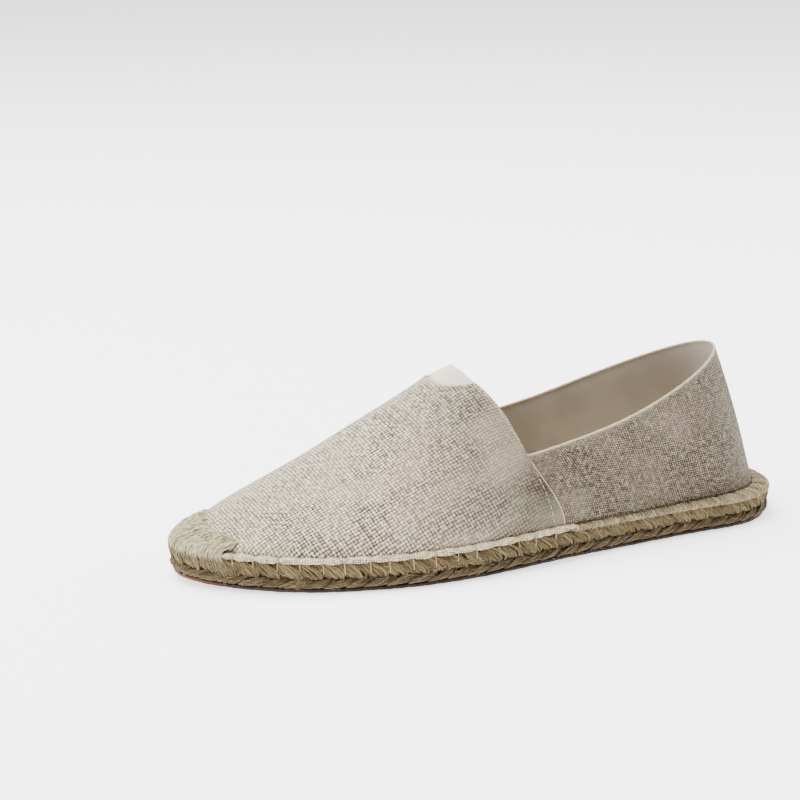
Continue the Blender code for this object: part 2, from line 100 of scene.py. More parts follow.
def curve(rows, column, along):
    xs = np.array([row.along for row in rows], float)
    ys = np.array([getattr(row, column) for row in rows], float)
    s = np.clip(np.asarray(along, float), xs[0], xs[-1])
    step = np.diff(xs)
    slope = np.diff(ys) / step
    inner = (slope[:-1] * step[1:] + slope[1:] * step[:-1]) / (step[:-1] + step[1:])
    tangent = np.concatenate([slope[:1], inner, slope[-1:]])
    i = np.clip(np.searchsorted(xs, s, side="right") - 1, 0, len(step) - 1)
    t = (s - xs[i]) / step[i]
    start = ys[i] * (2 * t**3 - 3 * t**2 + 1) + tangent[i] * step[i] * (t**3 - 2 * t**2 + t)
    end = ys[i + 1] * (3 * t**2 - 2 * t**3) + tangent[i + 1] * step[i] * (t**3 - t**2)
    return start + end


def ease(t):
    t = np.clip(t, 0.0, 1.0)
    return t * t * (3.0 - 2.0 * t)


def hill(distance, width):
    """1 in the middle, falling softly to nothing within about two widths."""
    return np.exp(-((distance / width) ** 2))


def unit(vectors):
    return vectors / np.maximum(np.linalg.norm(vectors, axis=-1, keepdims=True), 1e-12)


def share(y):
    return np.asarray(y, float) / SHOE_LENGTH + 0.5


def place(along):
    return (along - 0.5) * SHOE_LENGTH


def lift(y):
    s = share(y)
    spring = np.clip((s - SPRING_START) / (1 - SPRING_START), 0, 1) ** 2
    return TOE_SPRING * spring + ARCH_LIFT * ease(1 - np.abs(s - ARCH_MIDDLE) / ARCH_REACH)


def crease_rise(y):
    start, end = CREASE_SPAN
    return HEEL_CREASE_RISE + (CREASE_RISE - HEEL_CREASE_RISE) * ease((share(y) - start) / (end - start))


print("tables of the sole and the last:", len(SOLE_PLAN), "and", len(LAST), "rows")

# %% [markdown]
# The feather line is where the upper meets the sole, a few millimetres in from its edge.
# Lines at any inset come from the same outline, so the hem, braid and sole stay parallel.
# A fraction names a place round the shoe: 0 at the heel, one half at the toe, back to 1.

# %% Outline and feather line
Inset = namedtuple("Inset", "side heel toe")
FEATHER = Inset(SIDE_LIP, HEEL_LIP, TOE_LIP)
EDGE = Inset(0.0, 0.0, 0.0)


def toe_rounding(y, toe_inset):
    t = np.clip((y - SHOE_LENGTH / 2 + TOE_ROUND) / (TOE_ROUND - toe_inset), 0, 1)
    return (1 - t**TOE_SQUARE) ** (1 / TOE_SQUARE)


def section(y, inset):
    s = share(y)
    heel = np.clip((HEEL_ROUND - SHOE_LENGTH / 2 - y) / (HEEL_ROUND - inset.heel), 0, 1)
    start, end = HEEL_LIP_SPAN
    side = inset.heel + (inset.side - inset.heel) * ease((s - start) / (end - start))
    half = BALL_WIDTH * curve(SOLE_PLAN, "half_width", s) - side
    half = half * np.sqrt(1 - heel**2) * toe_rounding(y, inset.toe)
    return BALL_WIDTH * curve(SOLE_PLAN, "centre", s), half


def sides(inset):
    back, front = -SHOE_LENGTH / 2 + inset.heel, SHOE_LENGTH / 2 - inset.toe
    turn = np.linspace(0, math.pi, 1601)
    y = back + (front - back) * (1 - np.cos(turn)) / 2
    centre, half = section(y, inset)
    return np.stack([centre - half, y], -1), np.stack([centre + half, y], -1)


def arc_lengths(points):
    return np.concatenate([[0], np.cumsum(np.linalg.norm(np.diff(points, axis=0), axis=1))])


def arc_shares(points):
    arc = arc_lengths(points)
    return arc / arc[-1]


def read_at(places, stations, points):
    """The points of a line, or what it carries, read at other places along it."""
    return np.stack([np.interp(places, stations, column) for column in points.T], -1)


def along_line(points, shares):
    return read_at(shares, arc_shares(points), points)


def ring(inset, fractions):
    lateral, medial = sides(inset)
    f = np.mod(np.asarray(fractions, float), 1.0)
    left = along_line(lateral, np.clip(2 * f, 0, 1))
    right = along_line(medial, np.clip(2 - 2 * f, 0, 1))
    return np.where((f <= 0.5)[..., None], left, right)


def fraction_at(along, medial):
    line = sides(FEATHER)[1 if medial else 0]
    half = np.interp(place(along), line[:, 1], arc_shares(line)) / 2
    return 1 - half if medial else half


ROUND = 2 * np.linalg.norm(np.diff(sides(EDGE)[0], axis=0), axis=1).sum()
RIM_SHARES = np.linspace(0, 1, 2401)
RIM = ring(EDGE, RIM_SHARES)
rim_ahead = np.roll(RIM[:-1], -1, 0) - np.roll(RIM[:-1], 1, 0)
rim_out = unit(np.stack([-rim_ahead[:, 1], rim_ahead[:, 0]], -1))
RIM_OUT = np.concatenate([rim_out, rim_out[:1]])


def beside_rim(fractions, inset, height):
    """Points at an inset from the sole's edge and a height over its underside's plane."""
    f = np.mod(fractions, 1.0)
    away = unit(read_at(f, RIM_SHARES, RIM_OUT))
    spot = read_at(f, RIM_SHARES, RIM) - away * np.asarray(inset)[..., None]
    return np.concatenate([spot, (height + lift(spot[..., 1]))[..., None]], -1)


def outward_at(fractions):
    away = read_at(np.mod(fractions, 1.0), RIM_SHARES, RIM_OUT)
    return np.concatenate([away, np.zeros(away.shape[:-1] + (1,))], -1)


def lip_width(fractions):
    """How far in from the sole's edge the feather line lies at each place."""
    return np.linalg.norm(ring(FEATHER, fractions) - ring(EDGE, fractions), axis=1)


print("the sole is", round(ROUND * 1000), "mm round")

# %% [markdown]
# A mesh in mesh code needs only points and faces, kept here as whole arrays.
# Each piece carries its cut: how far along and across its cloth or cord a point lies.
# Weave and twist read the cut, so a thread keeps its real width wherever the form bends.

# %% Helpers that make pieces


def keep_piece(name, points, quads, cut, finish, stands_for=(), slot=None):
    mesh = bpy.data.meshes.new(name)
    mesh.from_pydata(points.reshape(-1, 3).tolist(), [], quads.reshape(-1, 4).tolist())
    mesh.polygons.foreach_set("use_smooth", np.ones(len(mesh.polygons), bool))
    layer = mesh.attributes.new("cut", "FLOAT_VECTOR", "POINT")
    layer.data.foreach_set("vector", np.ascontiguousarray(cut.reshape(-1, 3), np.float32).ravel())
    mesh.materials.append(finish)
    piece = bpy.data.objects.new(name, mesh)
    bpy.context.scene.collection.objects.link(piece)
    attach(piece, "root")
    if stands_for:
        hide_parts(*stands_for)
    print(name, "has", 2 * len(mesh.polygons), "triangles")
    return piece


def grid_faces(count, rows, inside_out=False):
    """Quads between columns of points, looking outward as the columns run clockwise."""
    i, k = np.meshgrid(np.arange(count - 1), np.arange(rows - 1), indexing="ij")
    a = i * rows + k
    b, c, d = a + rows, a + rows + 1, a + 1
    return np.stack([a, b, c, d] if inside_out else [a, d, c, b], -1)


def lay_cloth(name, grid, cut, finish, inside_out=False, **more):
    faces = grid_faces(*grid.shape[:2], inside_out)
    return keep_piece(name, grid, faces, cut, finish, **more)


def normals_of(grid):
    return unit(np.cross(np.gradient(grid, axis=1), np.gradient(grid, axis=0)))


def row_lengths(grid):
    steps = np.linalg.norm(np.diff(grid, axis=1), axis=-1)
    return np.concatenate([np.zeros((len(grid), 1)), np.cumsum(steps, 1)], 1)


def strip_cut(across, up, wear_and_painted_light=0.0):
    """The cut of a strip: one place across for each column, and the length up it."""
    return np.stack([np.broadcast_to(across[:, None], up.shape), up, wear_and_painted_light + 0 * up], -1)


def twist_cords(name, lines, radius, away, finish, corners=7, flat=1.0, zero=0, **more):
    """Cords round centre lines, measured from row zero; away is the side that shows."""
    count, rows = lines.shape[:2]
    ahead = unit(np.gradient(lines, axis=1))
    side = unit(np.cross(ahead, away))
    top = np.cross(side, ahead)
    turn = np.linspace(0, 2 * math.pi, corners + 1) - math.pi / 2
    hoop = side[:, :, None] * np.cos(turn)[:, None] + top[:, :, None] * (flat * np.sin(turn))[:, None]
    points = lines[:, :, None] + hoop * np.broadcast_to(radius, (count, rows))[..., None, None]
    reach = row_lengths(lines)
    reach = reach - reach[:, zero:zero + 1]
    tone = np.random.RandomState(len(name) + count).rand(count)
    cut = np.zeros(points.shape)
    cut[..., 0] = np.linspace(0, 1, corners + 1)
    cut[..., 1] = reach[:, :, None]
    cut[..., 2] = tone[:, None, None]
    n, i, j = np.meshgrid(np.arange(count), np.arange(rows - 1), np.arange(corners), indexing="ij")
    a = (n * rows + i) * (corners + 1) + j
    d, b = a + 1, a + corners + 1
    faces = np.stack([a, b, b + 1, d], -1)
    return keep_piece(name, points, faces, cut, finish, **more)


# %% [markdown]
# A shader is a graph, but its sums are easier to read as arithmetic.
# The class below wraps one socket, and each operator adds the Math node that does it.
# Colours are never sent through Math nodes, which would turn them grey.

# %% Sockets as numbers


class Thread:
    """One value in a finish's graph."""

    def __init__(self, finish, socket):
        self.finish, self.socket = finish, socket

    def sum_of(self, operation, *others):
        values = {n + 1: other for n, other in enumerate(others)}
        return self.finish.node("ShaderNodeMath", {"operation": operation}, {0: self, **values})

    def __add__(self, other):
        return self.sum_of("ADD", other)

    def __sub__(self, other):
        return self.sum_of("SUBTRACT", other)

    def __mul__(self, other):
        return self.sum_of("MULTIPLY", other)

    def __truediv__(self, other):
        return self.sum_of("DIVIDE", other)

    def __pow__(self, other):
        return self.sum_of("POWER", other)

    def __rsub__(self, other):
        return self * -1.0 + other

    __radd__, __rmul__ = __add__, __mul__

    def sine(self):
        return self.sum_of("SINE")

    def size(self):
        return self.sum_of("ABSOLUTE")

    def whole(self):
        return self.sum_of("FLOOR")

    def higher(self, other):
        return self.sum_of("MAXIMUM", other)

    def lower(self, other):
        return self.sum_of("MINIMUM", other)

    def between(self, low, high):
        """0 at low, 1 at high, with soft ends."""
        settings = {"interpolation_type": "SMOOTHSTEP"}
        values = {"Value": self, "From Min": low, "From Max": high}
        return self.finish.node("ShaderNodeMapRange", settings, values)


class Finish:
    """A material's graph, with constants set on the shader itself."""

    def __init__(self, name, **constants):
        self.material = bpy.data.materials.new(name)
        self.material.use_nodes = True
        self.tree = self.material.node_tree
        self.shader = self.tree.nodes["Principled BSDF"]
        for socket, value in constants.items():
            self.shader.inputs[socket.replace("_", " ")].default_value = value

    def node(self, kind, settings, values, output=0):
        made = self.tree.nodes.new(kind)
        for key, value in settings.items():
            setattr(made, key, value)
        for key, value in values.items():
            if isinstance(value, Thread):
                self.tree.links.new(value.socket, made.inputs[key])
            else:
                made.inputs[key].default_value = value
        return Thread(self, made.outputs[output])

    def cut(self):
        """Across, along and tone, as the mesh carries them."""
        carried = self.node("ShaderNodeAttribute", {"attribute_name": "cut"}, {}, "Vector")
        return [self.node("ShaderNodeSeparateXYZ", {}, {0: carried}, k) for k in range(3)]

    def noise(self, x, y, z=0.0, detail=2.0, rough=0.5):
        """Noise with one lump to a unit; z picks another stretch of it."""
        spot = self.node("ShaderNodeCombineXYZ", {}, {0: x, 1: y, 2: z})
        values = {"Vector": spot, "Scale": 1.0, "Detail": detail, "Roughness": rough}
        return self.node("ShaderNodeTexNoise", {}, values)

    def mix(self, factor, first, second):
        """Two colours mixed; one given as red, green and blue is as a screen shows it."""
        first, second = (rgb(*c) if isinstance(c, tuple) else c for c in (first, second))
        settings = {"data_type": "RGBA", "blend_type": "MIX"}
        return self.node("ShaderNodeMix", settings, {0: factor, 6: first, 7: second}, 2)

    def feed(self, socket, value):
        self.tree.links.new(value.socket, self.shader.inputs[socket])

    def bump(self, height, depth):
        """Relief of the surface, where height 1 stands depth metres proud of height 0."""
        values = {"Height": height * depth, "Distance": 1.0, "Strength": 1.0}
        self.feed("Normal", self.node("ShaderNodeBump", {}, values))


def rgb(*screen):
    """A colour as a screen shows it, turned to the linear light that a shader wants."""
    linear = (((c / 255 + 0.055) / 1.055) ** 2.4 if c > 10 else c / 3295 for c in screen)
    return *linear, 1.0


# %% [markdown]
# Linen is a plain weave: each thread goes over one neighbour and under the next.
# A sine along every thread lifts it at alternate crossings, and the higher thread shows.
# Slubs, the thick places in spun flax, come from noise that is stretched along the thread.

# %% Linen


VAMP_PITCH, QUARTER_PITCH, HEM_PITCH = 0.00155, 0.00118, 0.00110
PAINTED_SHADE, BLUSH, COOL = (90, 78, 62), (205, 160, 150), (156, 172, 138)


def linen(name, warp, weft, gap, pale, pitch, relief=0.00050):
    finish = Finish(name, Roughness=0.85, Sheen_Weight=0.1, Sheen_Roughness=0.5, Specular_IOR_Level=0.2)
    across, along, wear_and_painted_light = finish.cut()
    sway = finish.noise(across * 130, along * 130) - 0.5
    a = across / pitch + sway * 1.1
    b = along / (pitch * 0.95) - sway * 0.9
    warp_run = finish.noise(a.whole() * 7.3, along * 150)
    weft_run = finish.noise(across * 150, b.whole() * 7.3, 7.0)
    knot = finish.noise(across * 520, along * 520, 4.0, 1.0) - 0.5
    warp_body = (a * math.pi).sine().size() + (warp_run - 0.5) * 0.55
    weft_body = (b * math.pi).sine().size() + (weft_run - 0.5) * 0.55
    warp_high = warp_body.between(0.10, 0.90) * (((b + a.whole()) * math.pi).sine() * 0.40 + 0.60)
    weft_high = weft_body.between(0.10, 0.90) * (0.60 - ((a + b.whole()) * math.pi).sine() * 0.40)
    height = warp_high.higher(weft_high)
    warp_shows = (warp_high - weft_high).between(-0.08, 0.08)
    spun = finish.noise(across * 2600, along * 2600)
    patch = finish.noise(across * 48, along * 30, 9.0, 3.0)
    blush = finish.noise(across * 26, along * 20, 3.0)
    cool = finish.noise(across * 34, along * 24, 11.0)
    colour = finish.mix(warp_shows, weft, warp)
    colour = finish.mix(warp_run.between(0.48, 0.72) * 0.5, colour, pale)
    # Painted shade: where the cut's third value is below zero, the cloth darkens towards this colour.
    colour = finish.mix((wear_and_painted_light * -1.0).lower(1.0).higher(0.0), colour, PAINTED_SHADE)
    colour = finish.mix(weft_run.between(0.52, 0.28) * 0.3, colour, gap)
    # Darker where the threads dip: the open holes are real, and the shade between crossings is painted.
    colour = finish.mix((height + knot * 1.4).between(0.98, 0.42) * 0.95, colour, gap)
    colour = finish.mix(patch.between(0.35, 0.75) * 0.35, colour, weft)
    colour = finish.mix(blush.between(0.50, 0.70) * 0.15, colour, BLUSH)
    colour = finish.mix(cool.between(0.50, 0.70) * 0.17, colour, COOL)
    colour = finish.mix(spun * 0.12, colour, gap)
    colour = finish.mix(wear_and_painted_light * 0.5, colour, pale)
    finish.feed("Base Color", colour)
    finish.feed("Roughness", 0.95 - height * 0.22)
    finish.bump(height + spun * 0.12, relief)
    return finish.material


vamp_colours = (229, 216, 193), (208, 191, 163), (44, 33, 22), (240, 229, 208)
# Painted shade: the quarters are the vamp's linen in darker colours, standing for the shade on them.
quarter_shaded_colours = (158, 144, 119), (130, 115, 93), (26, 18, 12), (190, 173, 149)
hem_colours = (236, 223, 190), (212, 196, 156), (84, 66, 42), (242, 232, 206)
vamp_linen = linen("vamp_linen", *vamp_colours, VAMP_PITCH)
quarter_shaded_linen = linen("quarter_shaded_linen", *quarter_shaded_colours, QUARTER_PITCH)
hem_linen = linen("hem_linen", *hem_colours, HEM_PITCH, relief=0.00030)
vamp_mm, quarter_mm = round(1000 * VAMP_PITCH, 2), round(1000 * QUARTER_PITCH, 2)
print("linen threads are", vamp_mm, "mm apart on the vamp and", quarter_mm, "mm on the quarters")

# %% [markdown]
# Cotton twill, elastic and the folded binding are finer than the eye can count here.
# They get a small rib or twill in relief and a slow change of tone, and no open weave.

# %% Cotton lining, binding and elastic


def fine_cloth(name, light, dark, rib, relief, slope=0.0, sheen=0.2):
    finish = Finish(name, Roughness=0.85, Sheen_Weight=sheen, Specular_IOR_Level=0.2)
    across, along, wear_and_painted_light = finish.cut()
    ribs = ((across + along * slope) * (2 * math.pi / rib)).sine() * 0.5 + 0.5
    grain = finish.noise(across * 1500, along * 1500, detail=3.0)
    slow = finish.noise(across * 30, along * 22, 5.0, 3.0)
    colour = finish.mix(slow.between(0.3, 0.7), dark, light)
    colour = finish.mix(ribs * 0.25 + grain * 0.2, colour, dark)
    colour = finish.mix(wear_and_painted_light * 0.5, colour, light)
    finish.feed("Base Color", colour)
    finish.feed("Roughness", grain * 0.2 + 0.75)
    finish.bump(ribs * 0.6 + grain * 0.4, relief)
    return finish.material


lining_cotton = fine_cloth("lining_cotton", (172, 163, 150), (151, 142, 129), 0.0007, 0.00004, 0.8)
binding_cotton = fine_cloth("binding_cotton", (218, 203, 176), (180, 160, 132), 0.0012, 0.00012, 0.5)
elastic_cotton = fine_cloth("elastic_cotton", (218, 212, 192), (204, 198, 176), 0.0008, 0.00005, 0.0, 0.1)
insole_cotton = fine_cloth("insole_cotton", (200, 186, 160), (178, 160, 130), 0.0011, 0.00010, 1.0)

# %% [markdown]
# Jute is a coarse golden fibre, and one yarn holds hundreds of them, softly twisted.
# The twist shows as slanting light and dark streaks that wind round each cord.
# Loose fibre makes the surface matt, so there is no gloss and much fine relief.

# %% Jute, thread and rubber


def jute(name, light, dark, pit, pale, plies=3.0, pitch=0.0045, relief=0.00022, foot=None):
    finish = Finish(name, Roughness=0.9, Sheen_Weight=0.08, Sheen_Roughness=0.6, Specular_IOR_Level=0.12)
    around, along, tone = finish.cut()
    twist = around * plies + along / pitch + tone * 23.0
    ply = (twist * math.pi).sine().size() ** 0.7
    streak = finish.noise(twist * 7.0, along * 260, tone * 40, 4.0, 0.65)
    slow = finish.noise(tone * 50, along * 120, 2.0)
    colour = finish.mix(streak.between(0.32, 0.64), dark, light)
    colour = finish.mix(tone.between(0.45, 1.0) * 0.45, colour, pale)
    colour = finish.mix(slow.between(0.48, 0.70) * 0.55, colour, dark)
    if foot:
        # Painted shade: below the height foot, where the thread runs down over the braid, it darkens.
        colour = finish.mix((along + slow * 0.003).between(foot, foot - 0.0030) * 0.80, colour, dark)
    colour = finish.mix((1 - ply) * 0.65, colour, pit)
    finish.feed("Base Color", colour)
    finish.feed("Roughness", streak * 0.2 + 0.78)
    finish.bump(ply * 0.7 + streak * 0.5, relief)
    return finish.material


braid_jute = jute("braid_jute", (120, 102, 66), (72, 58, 33), (20, 14, 7), (159, 141, 101))
# Painted shade: the lower row is the same jute in darker colours, for the shade low on the sole.
braid_lower_shaded_jute = jute("braid_lower_shaded_jute", (96, 78, 50), (56, 44, 25), (14, 10, 5), (121, 102, 68))
toe_colours = (210, 200, 160), (88, 71, 42), (30, 21, 10), (240, 234, 206)
whip_colours = (184, 168, 134), (112, 96, 68), (40, 30, 18), (220, 207, 176)
cream_colours = (196, 180, 142), (150, 131, 94), (80, 63, 38), (210, 197, 164)
brown_colours = (92, 70, 50), (60, 44, 32), (34, 24, 17), (112, 88, 64)
# The toe threads darken where they run down over the braid, as painted shade.
toe_jute = jute("toe_jute", *toe_colours, 2.0, 0.0032, 0.00024, foot=0.0018)
whip_jute = jute("whip_jute", *whip_colours, 2.0, 0.0026, 0.00015)
cream_thread = jute("cream_thread", *cream_colours, 2.0, 0.0022, 0.00008)
brown_thread = jute("brown_thread", *brown_colours, 2.0, 0.0020, 0.00006)


def felted_jute(name, light, dark):
    """Jute seen as a mass, under and between the yarns."""
    finish = Finish(name, Roughness=0.95, Sheen_Weight=0.2, Specular_IOR_Level=0.15)
    across, along, wear_and_painted_light = finish.cut()
    fibre = finish.noise(across * 900, along * 160, 0.0, 4.0, 0.7)
    lump = finish.noise(across * 300, along * 300, 4.0, 3.0)
    colour = finish.mix(fibre.between(0.3, 0.7), dark, light)
    colour = finish.mix(lump.between(0.5, 0.7) * 0.5, colour, dark)
    finish.feed("Base Color", colour)
    finish.feed("Roughness", fibre * 0.15 + 0.82)
    finish.bump(fibre * 0.6 + lump * 0.6, 0.0003)
    return finish.material


core_jute = felted_jute("core_jute", (66, 48, 26), (30, 21, 11))
cap_jute = felted_jute("cap_jute", (126, 107, 70), (54, 40, 22))
welt_jute = felted_jute("welt_jute", (162, 145, 110), (80, 65, 42))


TREAD_PITCH = 0.0025


def moulded_rubber(name):
    finish = Finish(name, Roughness=0.6, Specular_IOR_Level=0.35)
    across, along, wear_and_painted_light = finish.cut()
    dust = finish.noise(across * 60, along * 60, 0.0, 4.0, 0.6)
    pore = finish.noise(across * 1400, along * 1400)
    one_way = ((across + along) * (math.pi / TREAD_PITCH)).sine().size()
    other_way = ((across - along) * (math.pi / TREAD_PITCH)).sine().size()
    tread = one_way.higher(other_way).between(0.75, 0.95)
    colour = finish.mix(dust.between(0.35, 0.7), (30, 18, 13), (54, 32, 22))
    # Painted light: the sheet is painted a lighter orange-brown at the toe, where light falls on it.
    colour = finish.mix(wear_and_painted_light * 0.75, colour, (104, 52, 28))
    colour = finish.mix(tread * 0.25, colour, (50, 28, 20))
    finish.feed("Base Color", colour)
    finish.feed("Roughness", dust * 0.3 + 0.45)
    finish.bump(pore * 0.15 - tread * 0.9, 0.0004)
    return finish.material


sole_rubber = moulded_rubber("sole_rubber")

# %% [markdown]
# The upper's cloth hangs between two lines: the feather line below and the edge above.
# The edge is the collar behind the seam, and the throat with its notch in front of it.
# Columns join the two lines and follow the last where the cloth drapes over the instep.

# %% Collar, throat and the skin between
COLLAR_BACK, COLLAR_ROUND, COLLAR_FLARE, COLLAR_DIP = 0.093, 0.239, 0.12, 1.37
SEAM_FOOT, CORNER, THROAT_FRONT, CAP_END = 0.425, 0.477, 0.543, 0.930
THROAT_BEND, THROAT_ROUND = 1.4, 0.25
NOTCH_CENTRE, NOTCH_HALF, NOTCH_DEPTH, NOTCH_SQUARE = 0.0040, 0.0170, 0.0098, 5.0
NOTCH_TILT = 0.28
NOTCH_COLUMN = 13 / 19
TAB_SIDE = 0.0035
QUARTER_BULGE = 0.0012
QUARTER_CENTRE = (0.15, 0.20)
DRAPE_START, DRAPE_RISE = 0.22, (0.010, 0.022)


def height_over(x, y):
    centre, half = section(y, FEATHER)
    s = share(y)
    d = np.clip((x - centre) / np.maximum(half, 1e-9), -1, 1)
    d = np.clip(d - curve(LAST, "lean", s) * (1 - d * d), -1, 1)
    full = curve(LAST, "fullness", s)
    ridge = INSTEP_HEIGHT * curve(LAST, "ridge", s) * toe_rounding(y, FEATHER.toe)
    return crease_rise(y) + ridge * (1 - np.abs(d) ** full) ** (1 / full)


def lay(plan):
    x, y = plan[..., 0], plan[..., 1]
    return np.stack([x, y, SOLE_TOP + lift(y) + height_over(x, y)], -1)


def collar_half(s):
    back = np.clip((COLLAR_BACK + COLLAR_ROUND - s) / COLLAR_ROUND, 0, 1)
    flare = 1 + COLLAR_FLARE * (s - COLLAR_BACK) / (CORNER - COLLAR_BACK)
    return COLLAR_WIDTH / 2 * flare * np.sqrt(1 - back**2)


CORNER_HALF = float(collar_half(CORNER))


def throat_share(x):
    reach = np.clip(np.abs(x) / CORNER_HALF, 0, 1)
    half = THROAT_BEND / 2
    flat, full = THROAT_ROUND**THROAT_BEND, (1 + THROAT_ROUND**2) ** half
    back = ((reach**2 + THROAT_ROUND**2) ** half - flat) / (full - flat)
    return THROAT_FRONT - (THROAT_FRONT - CORNER) * back


def linen_edge(x):
    notch = 1 - np.clip(np.abs(x - NOTCH_CENTRE) / NOTCH_HALF, 0, 1) ** NOTCH_SQUARE
    tilt = 1 + NOTCH_TILT * ease((x - NOTCH_CENTRE) / NOTCH_HALF)
    return place(throat_share(x)) + NOTCH_DEPTH * notch * tilt


def collar_line(sign):
    s = COLLAR_BACK + (CORNER - COLLAR_BACK) * np.linspace(0, 1, 401) ** 2
    corner = height_over(np.array([-CORNER_HALF]), np.array([place(CORNER)]))[0]
    rest = 1 - (s - COLLAR_BACK) / (CORNER - COLLAR_BACK)
    z = corner + (HEEL_HEIGHT - corner) * rest**COLLAR_DIP
    return np.stack([sign * collar_half(s), place(s), SOLE_TOP + lift(place(s)) + z], -1)


def throat_line(sign):
    x = np.linspace(CORNER_HALF, 0, 801)
    edge = linen_edge(sign * x)
    own = lay(np.stack([sign * x, edge], -1))
    lateral = lay(np.stack([-x, edge], -1))
    flat = NOTCH_CENTRE + NOTCH_HALF + TAB_SIDE
    own[:, 2] += (lateral[:, 2] - own[:, 2]) * ease((x - flat) / (CORNER_HALF - flat))
    return own


SEAM = {-1: fraction_at(SEAM_FOOT, False), 1: 1 - fraction_at(SEAM_FOOT, True)}
CAP = {-1: fraction_at(CAP_END, False), 1: 1 - fraction_at(CAP_END, True)}


def edge_above(fractions):
    """The point of the collar or throat above each place round the shoe."""
    f = np.mod(fractions, 1.0)
    top = np.zeros(f.shape + (3,))
    for sign, here in ((-1, f <= 0.5), (1, f > 0.5)):
        g = (f if sign < 0 else 1 - f)[here]
        seam, throat = SEAM[sign], throat_line(sign)
        turn = np.interp(-abs(NOTCH_CENTRE + sign * NOTCH_HALF), -np.abs(throat[:, 0]), arc_shares(throat))
        t = np.clip((g - seam) / (0.5 - seam), 0, 1)
        notch_at = NOTCH_COLUMN * (CAP[sign] - seam) / (0.5 - seam)
        front = along_line(throat, np.interp(t, [0, notch_at, 1], [0, turn, 1]))
        rear = along_line(collar_line(sign), np.clip(g / seam, 0, 1))
        top[here] = np.where((g <= seam)[:, None], rear, front)
    return top


def skin(fractions, shares):
    """The linen's base surface: a column of points for each place, from crease to edge."""
    f = np.asarray(fractions, float)
    foot, top = ring(FEATHER, f), edge_above(f)
    t = np.linspace(0, 1, 241) ** 2
    draped = lay(foot[:, None] + (top[:, None, :2] - foot[:, None]) * t[None, :, None])
    draped[:, 0, 2] = SOLE_TOP + lift(foot[:, 1]) + crease_rise(foot[:, 1])
    start = draped[:, :1, 2]
    rise = np.maximum(draped[:, -1:, 2] - start, 1e-5)
    draped[..., 2] = start + (draped[..., 2] - start) * (top[:, None, 2] - start) / rise
    foot3 = draped[:, 0]
    middle = BALL_WIDTH * curve(SOLE_PLAN, "centre", QUARTER_CENTRE[0]), place(QUARTER_CENTRE[1])
    out = unit(foot3[:, :2] - np.array(middle))
    out = np.concatenate([out, np.zeros((len(f), 1))], 1)
    even = np.linspace(0, 1, 241)
    straight = foot3[:, None] + (top - foot3)[:, None] * even[None, :, None]
    straight = straight + out[:, None] * (QUARTER_BULGE * np.sin(math.pi * even))[None, :, None]
    g = np.minimum(np.mod(f, 1.0), 1 - np.mod(f, 1.0))
    steep = ease((rise[:, 0] - DRAPE_RISE[0]) / (DRAPE_RISE[1] - DRAPE_RISE[0]))
    weight = ease((share(foot[:, 1]) - DRAPE_START) / (SEAM_FOOT - DRAPE_START)) * steep
    seam = np.where(np.mod(f, 1.0) <= 0.5, SEAM[-1], SEAM[1])
    weight = np.where(g > seam, 1.0, weight)
    upright, over = (np.stack([along_line(line, shares) for line in lines]) for lines in (straight, draped))
    return upright + (over - upright) * weight[:, None, None]


print("seam at", round(SEAM[-1], 3), "of the way round, toe wrap from", round(CAP[-1], 3))

# %% [markdown]
# The vamp is cut flat and folded over the instep, so its threads stay almost straight.
# One set runs along the slope of the ridge, and the other lies in planes square to it.
# A thread's place across is its way round from the ridge, found from two straight distances.

# %% Where each thread of the vamp lies
RIDGE_SLOPE = math.radians(27)
RIDGE_BEND = 0.6
FOLD_POWER = 1.35
RIDGE_BLEND = 0.007


def ridge_at(y):
    """The ridge bends with the sole's centre line, though less than it does."""
    return RIDGE_BEND * BALL_WIDTH * curve(SOLE_PLAN, "centre", share(y))


def slanted(grid):
    """Distance up the slope of the ridge, and height square to that slope."""
    y, z = grid[..., 1], grid[..., 2]
    rise, level = math.sin(RIDGE_SLOPE), math.cos(RIDGE_SLOPE)
    return z * rise - y * level, z * level + y * rise


ridge_y = np.linspace(0.1425, -0.040, 500)
ridge_run, ridge_top = slanted(lay(np.stack([ridge_at(ridge_y), ridge_y], -1)))


def thread_places(grid):
    """Across and along; close to the ridge a thread's place across is its plain distance."""
    run, top = slanted(grid)
    drop = np.maximum(np.interp(run, ridge_run, ridge_top) - top, 0)
    side = grid[..., 0] - ridge_at(grid[..., 1])
    out = np.abs(side)
    way = (out**FOLD_POWER + drop**FOLD_POWER) ** (1 / FOLD_POWER)
    return side + (way - out) * side / np.maximum(out, RIDGE_BLEND), run


print("the vamp's ridge is", round(1000 * (ridge_run[-1] - ridge_run[0])), "mm long")

# %% [markdown]
# The vamp is the front cloth. A real one is sewn flat, wetted and pulled over the last.
# It keeps a few soft creases where the foot bends, and small puckers above each stitch.
# Both are troughs moved along the surface's own normal, placed in the shoe's own sizes.
# The cloth is a little darker towards the seam: this is painted shade, carried by a slow tone in its cut.

# %% Vamp
STITCH_PITCH = 0.0097
Crease = namedtuple("Crease", "round up length width depth turn")
VAMP_CREASES = [
    Crease(0.262, 0.55, 0.022, 0.0040, -0.00045, 0.5),
    Crease(0.300, 0.62, 0.026, 0.0050, -0.00035, 0.3),
    Crease(0.345, 0.48, 0.020, 0.0045, 0.00030, 0.2),
    Crease(0.232, 0.16, 0.016, 0.0030, -0.00045, 0.75),
    Crease(0.246, 0.24, 0.018, 0.0032, 0.00035, 0.70),
    Crease(0.262, 0.20, 0.018, 0.0034, -0.00040, 0.55),
    Crease(0.722, 0.55, 0.024, 0.0045, -0.00040, -0.4),
    Crease(0.665, 0.60, 0.024, 0.0050, -0.00030, -0.2),
]


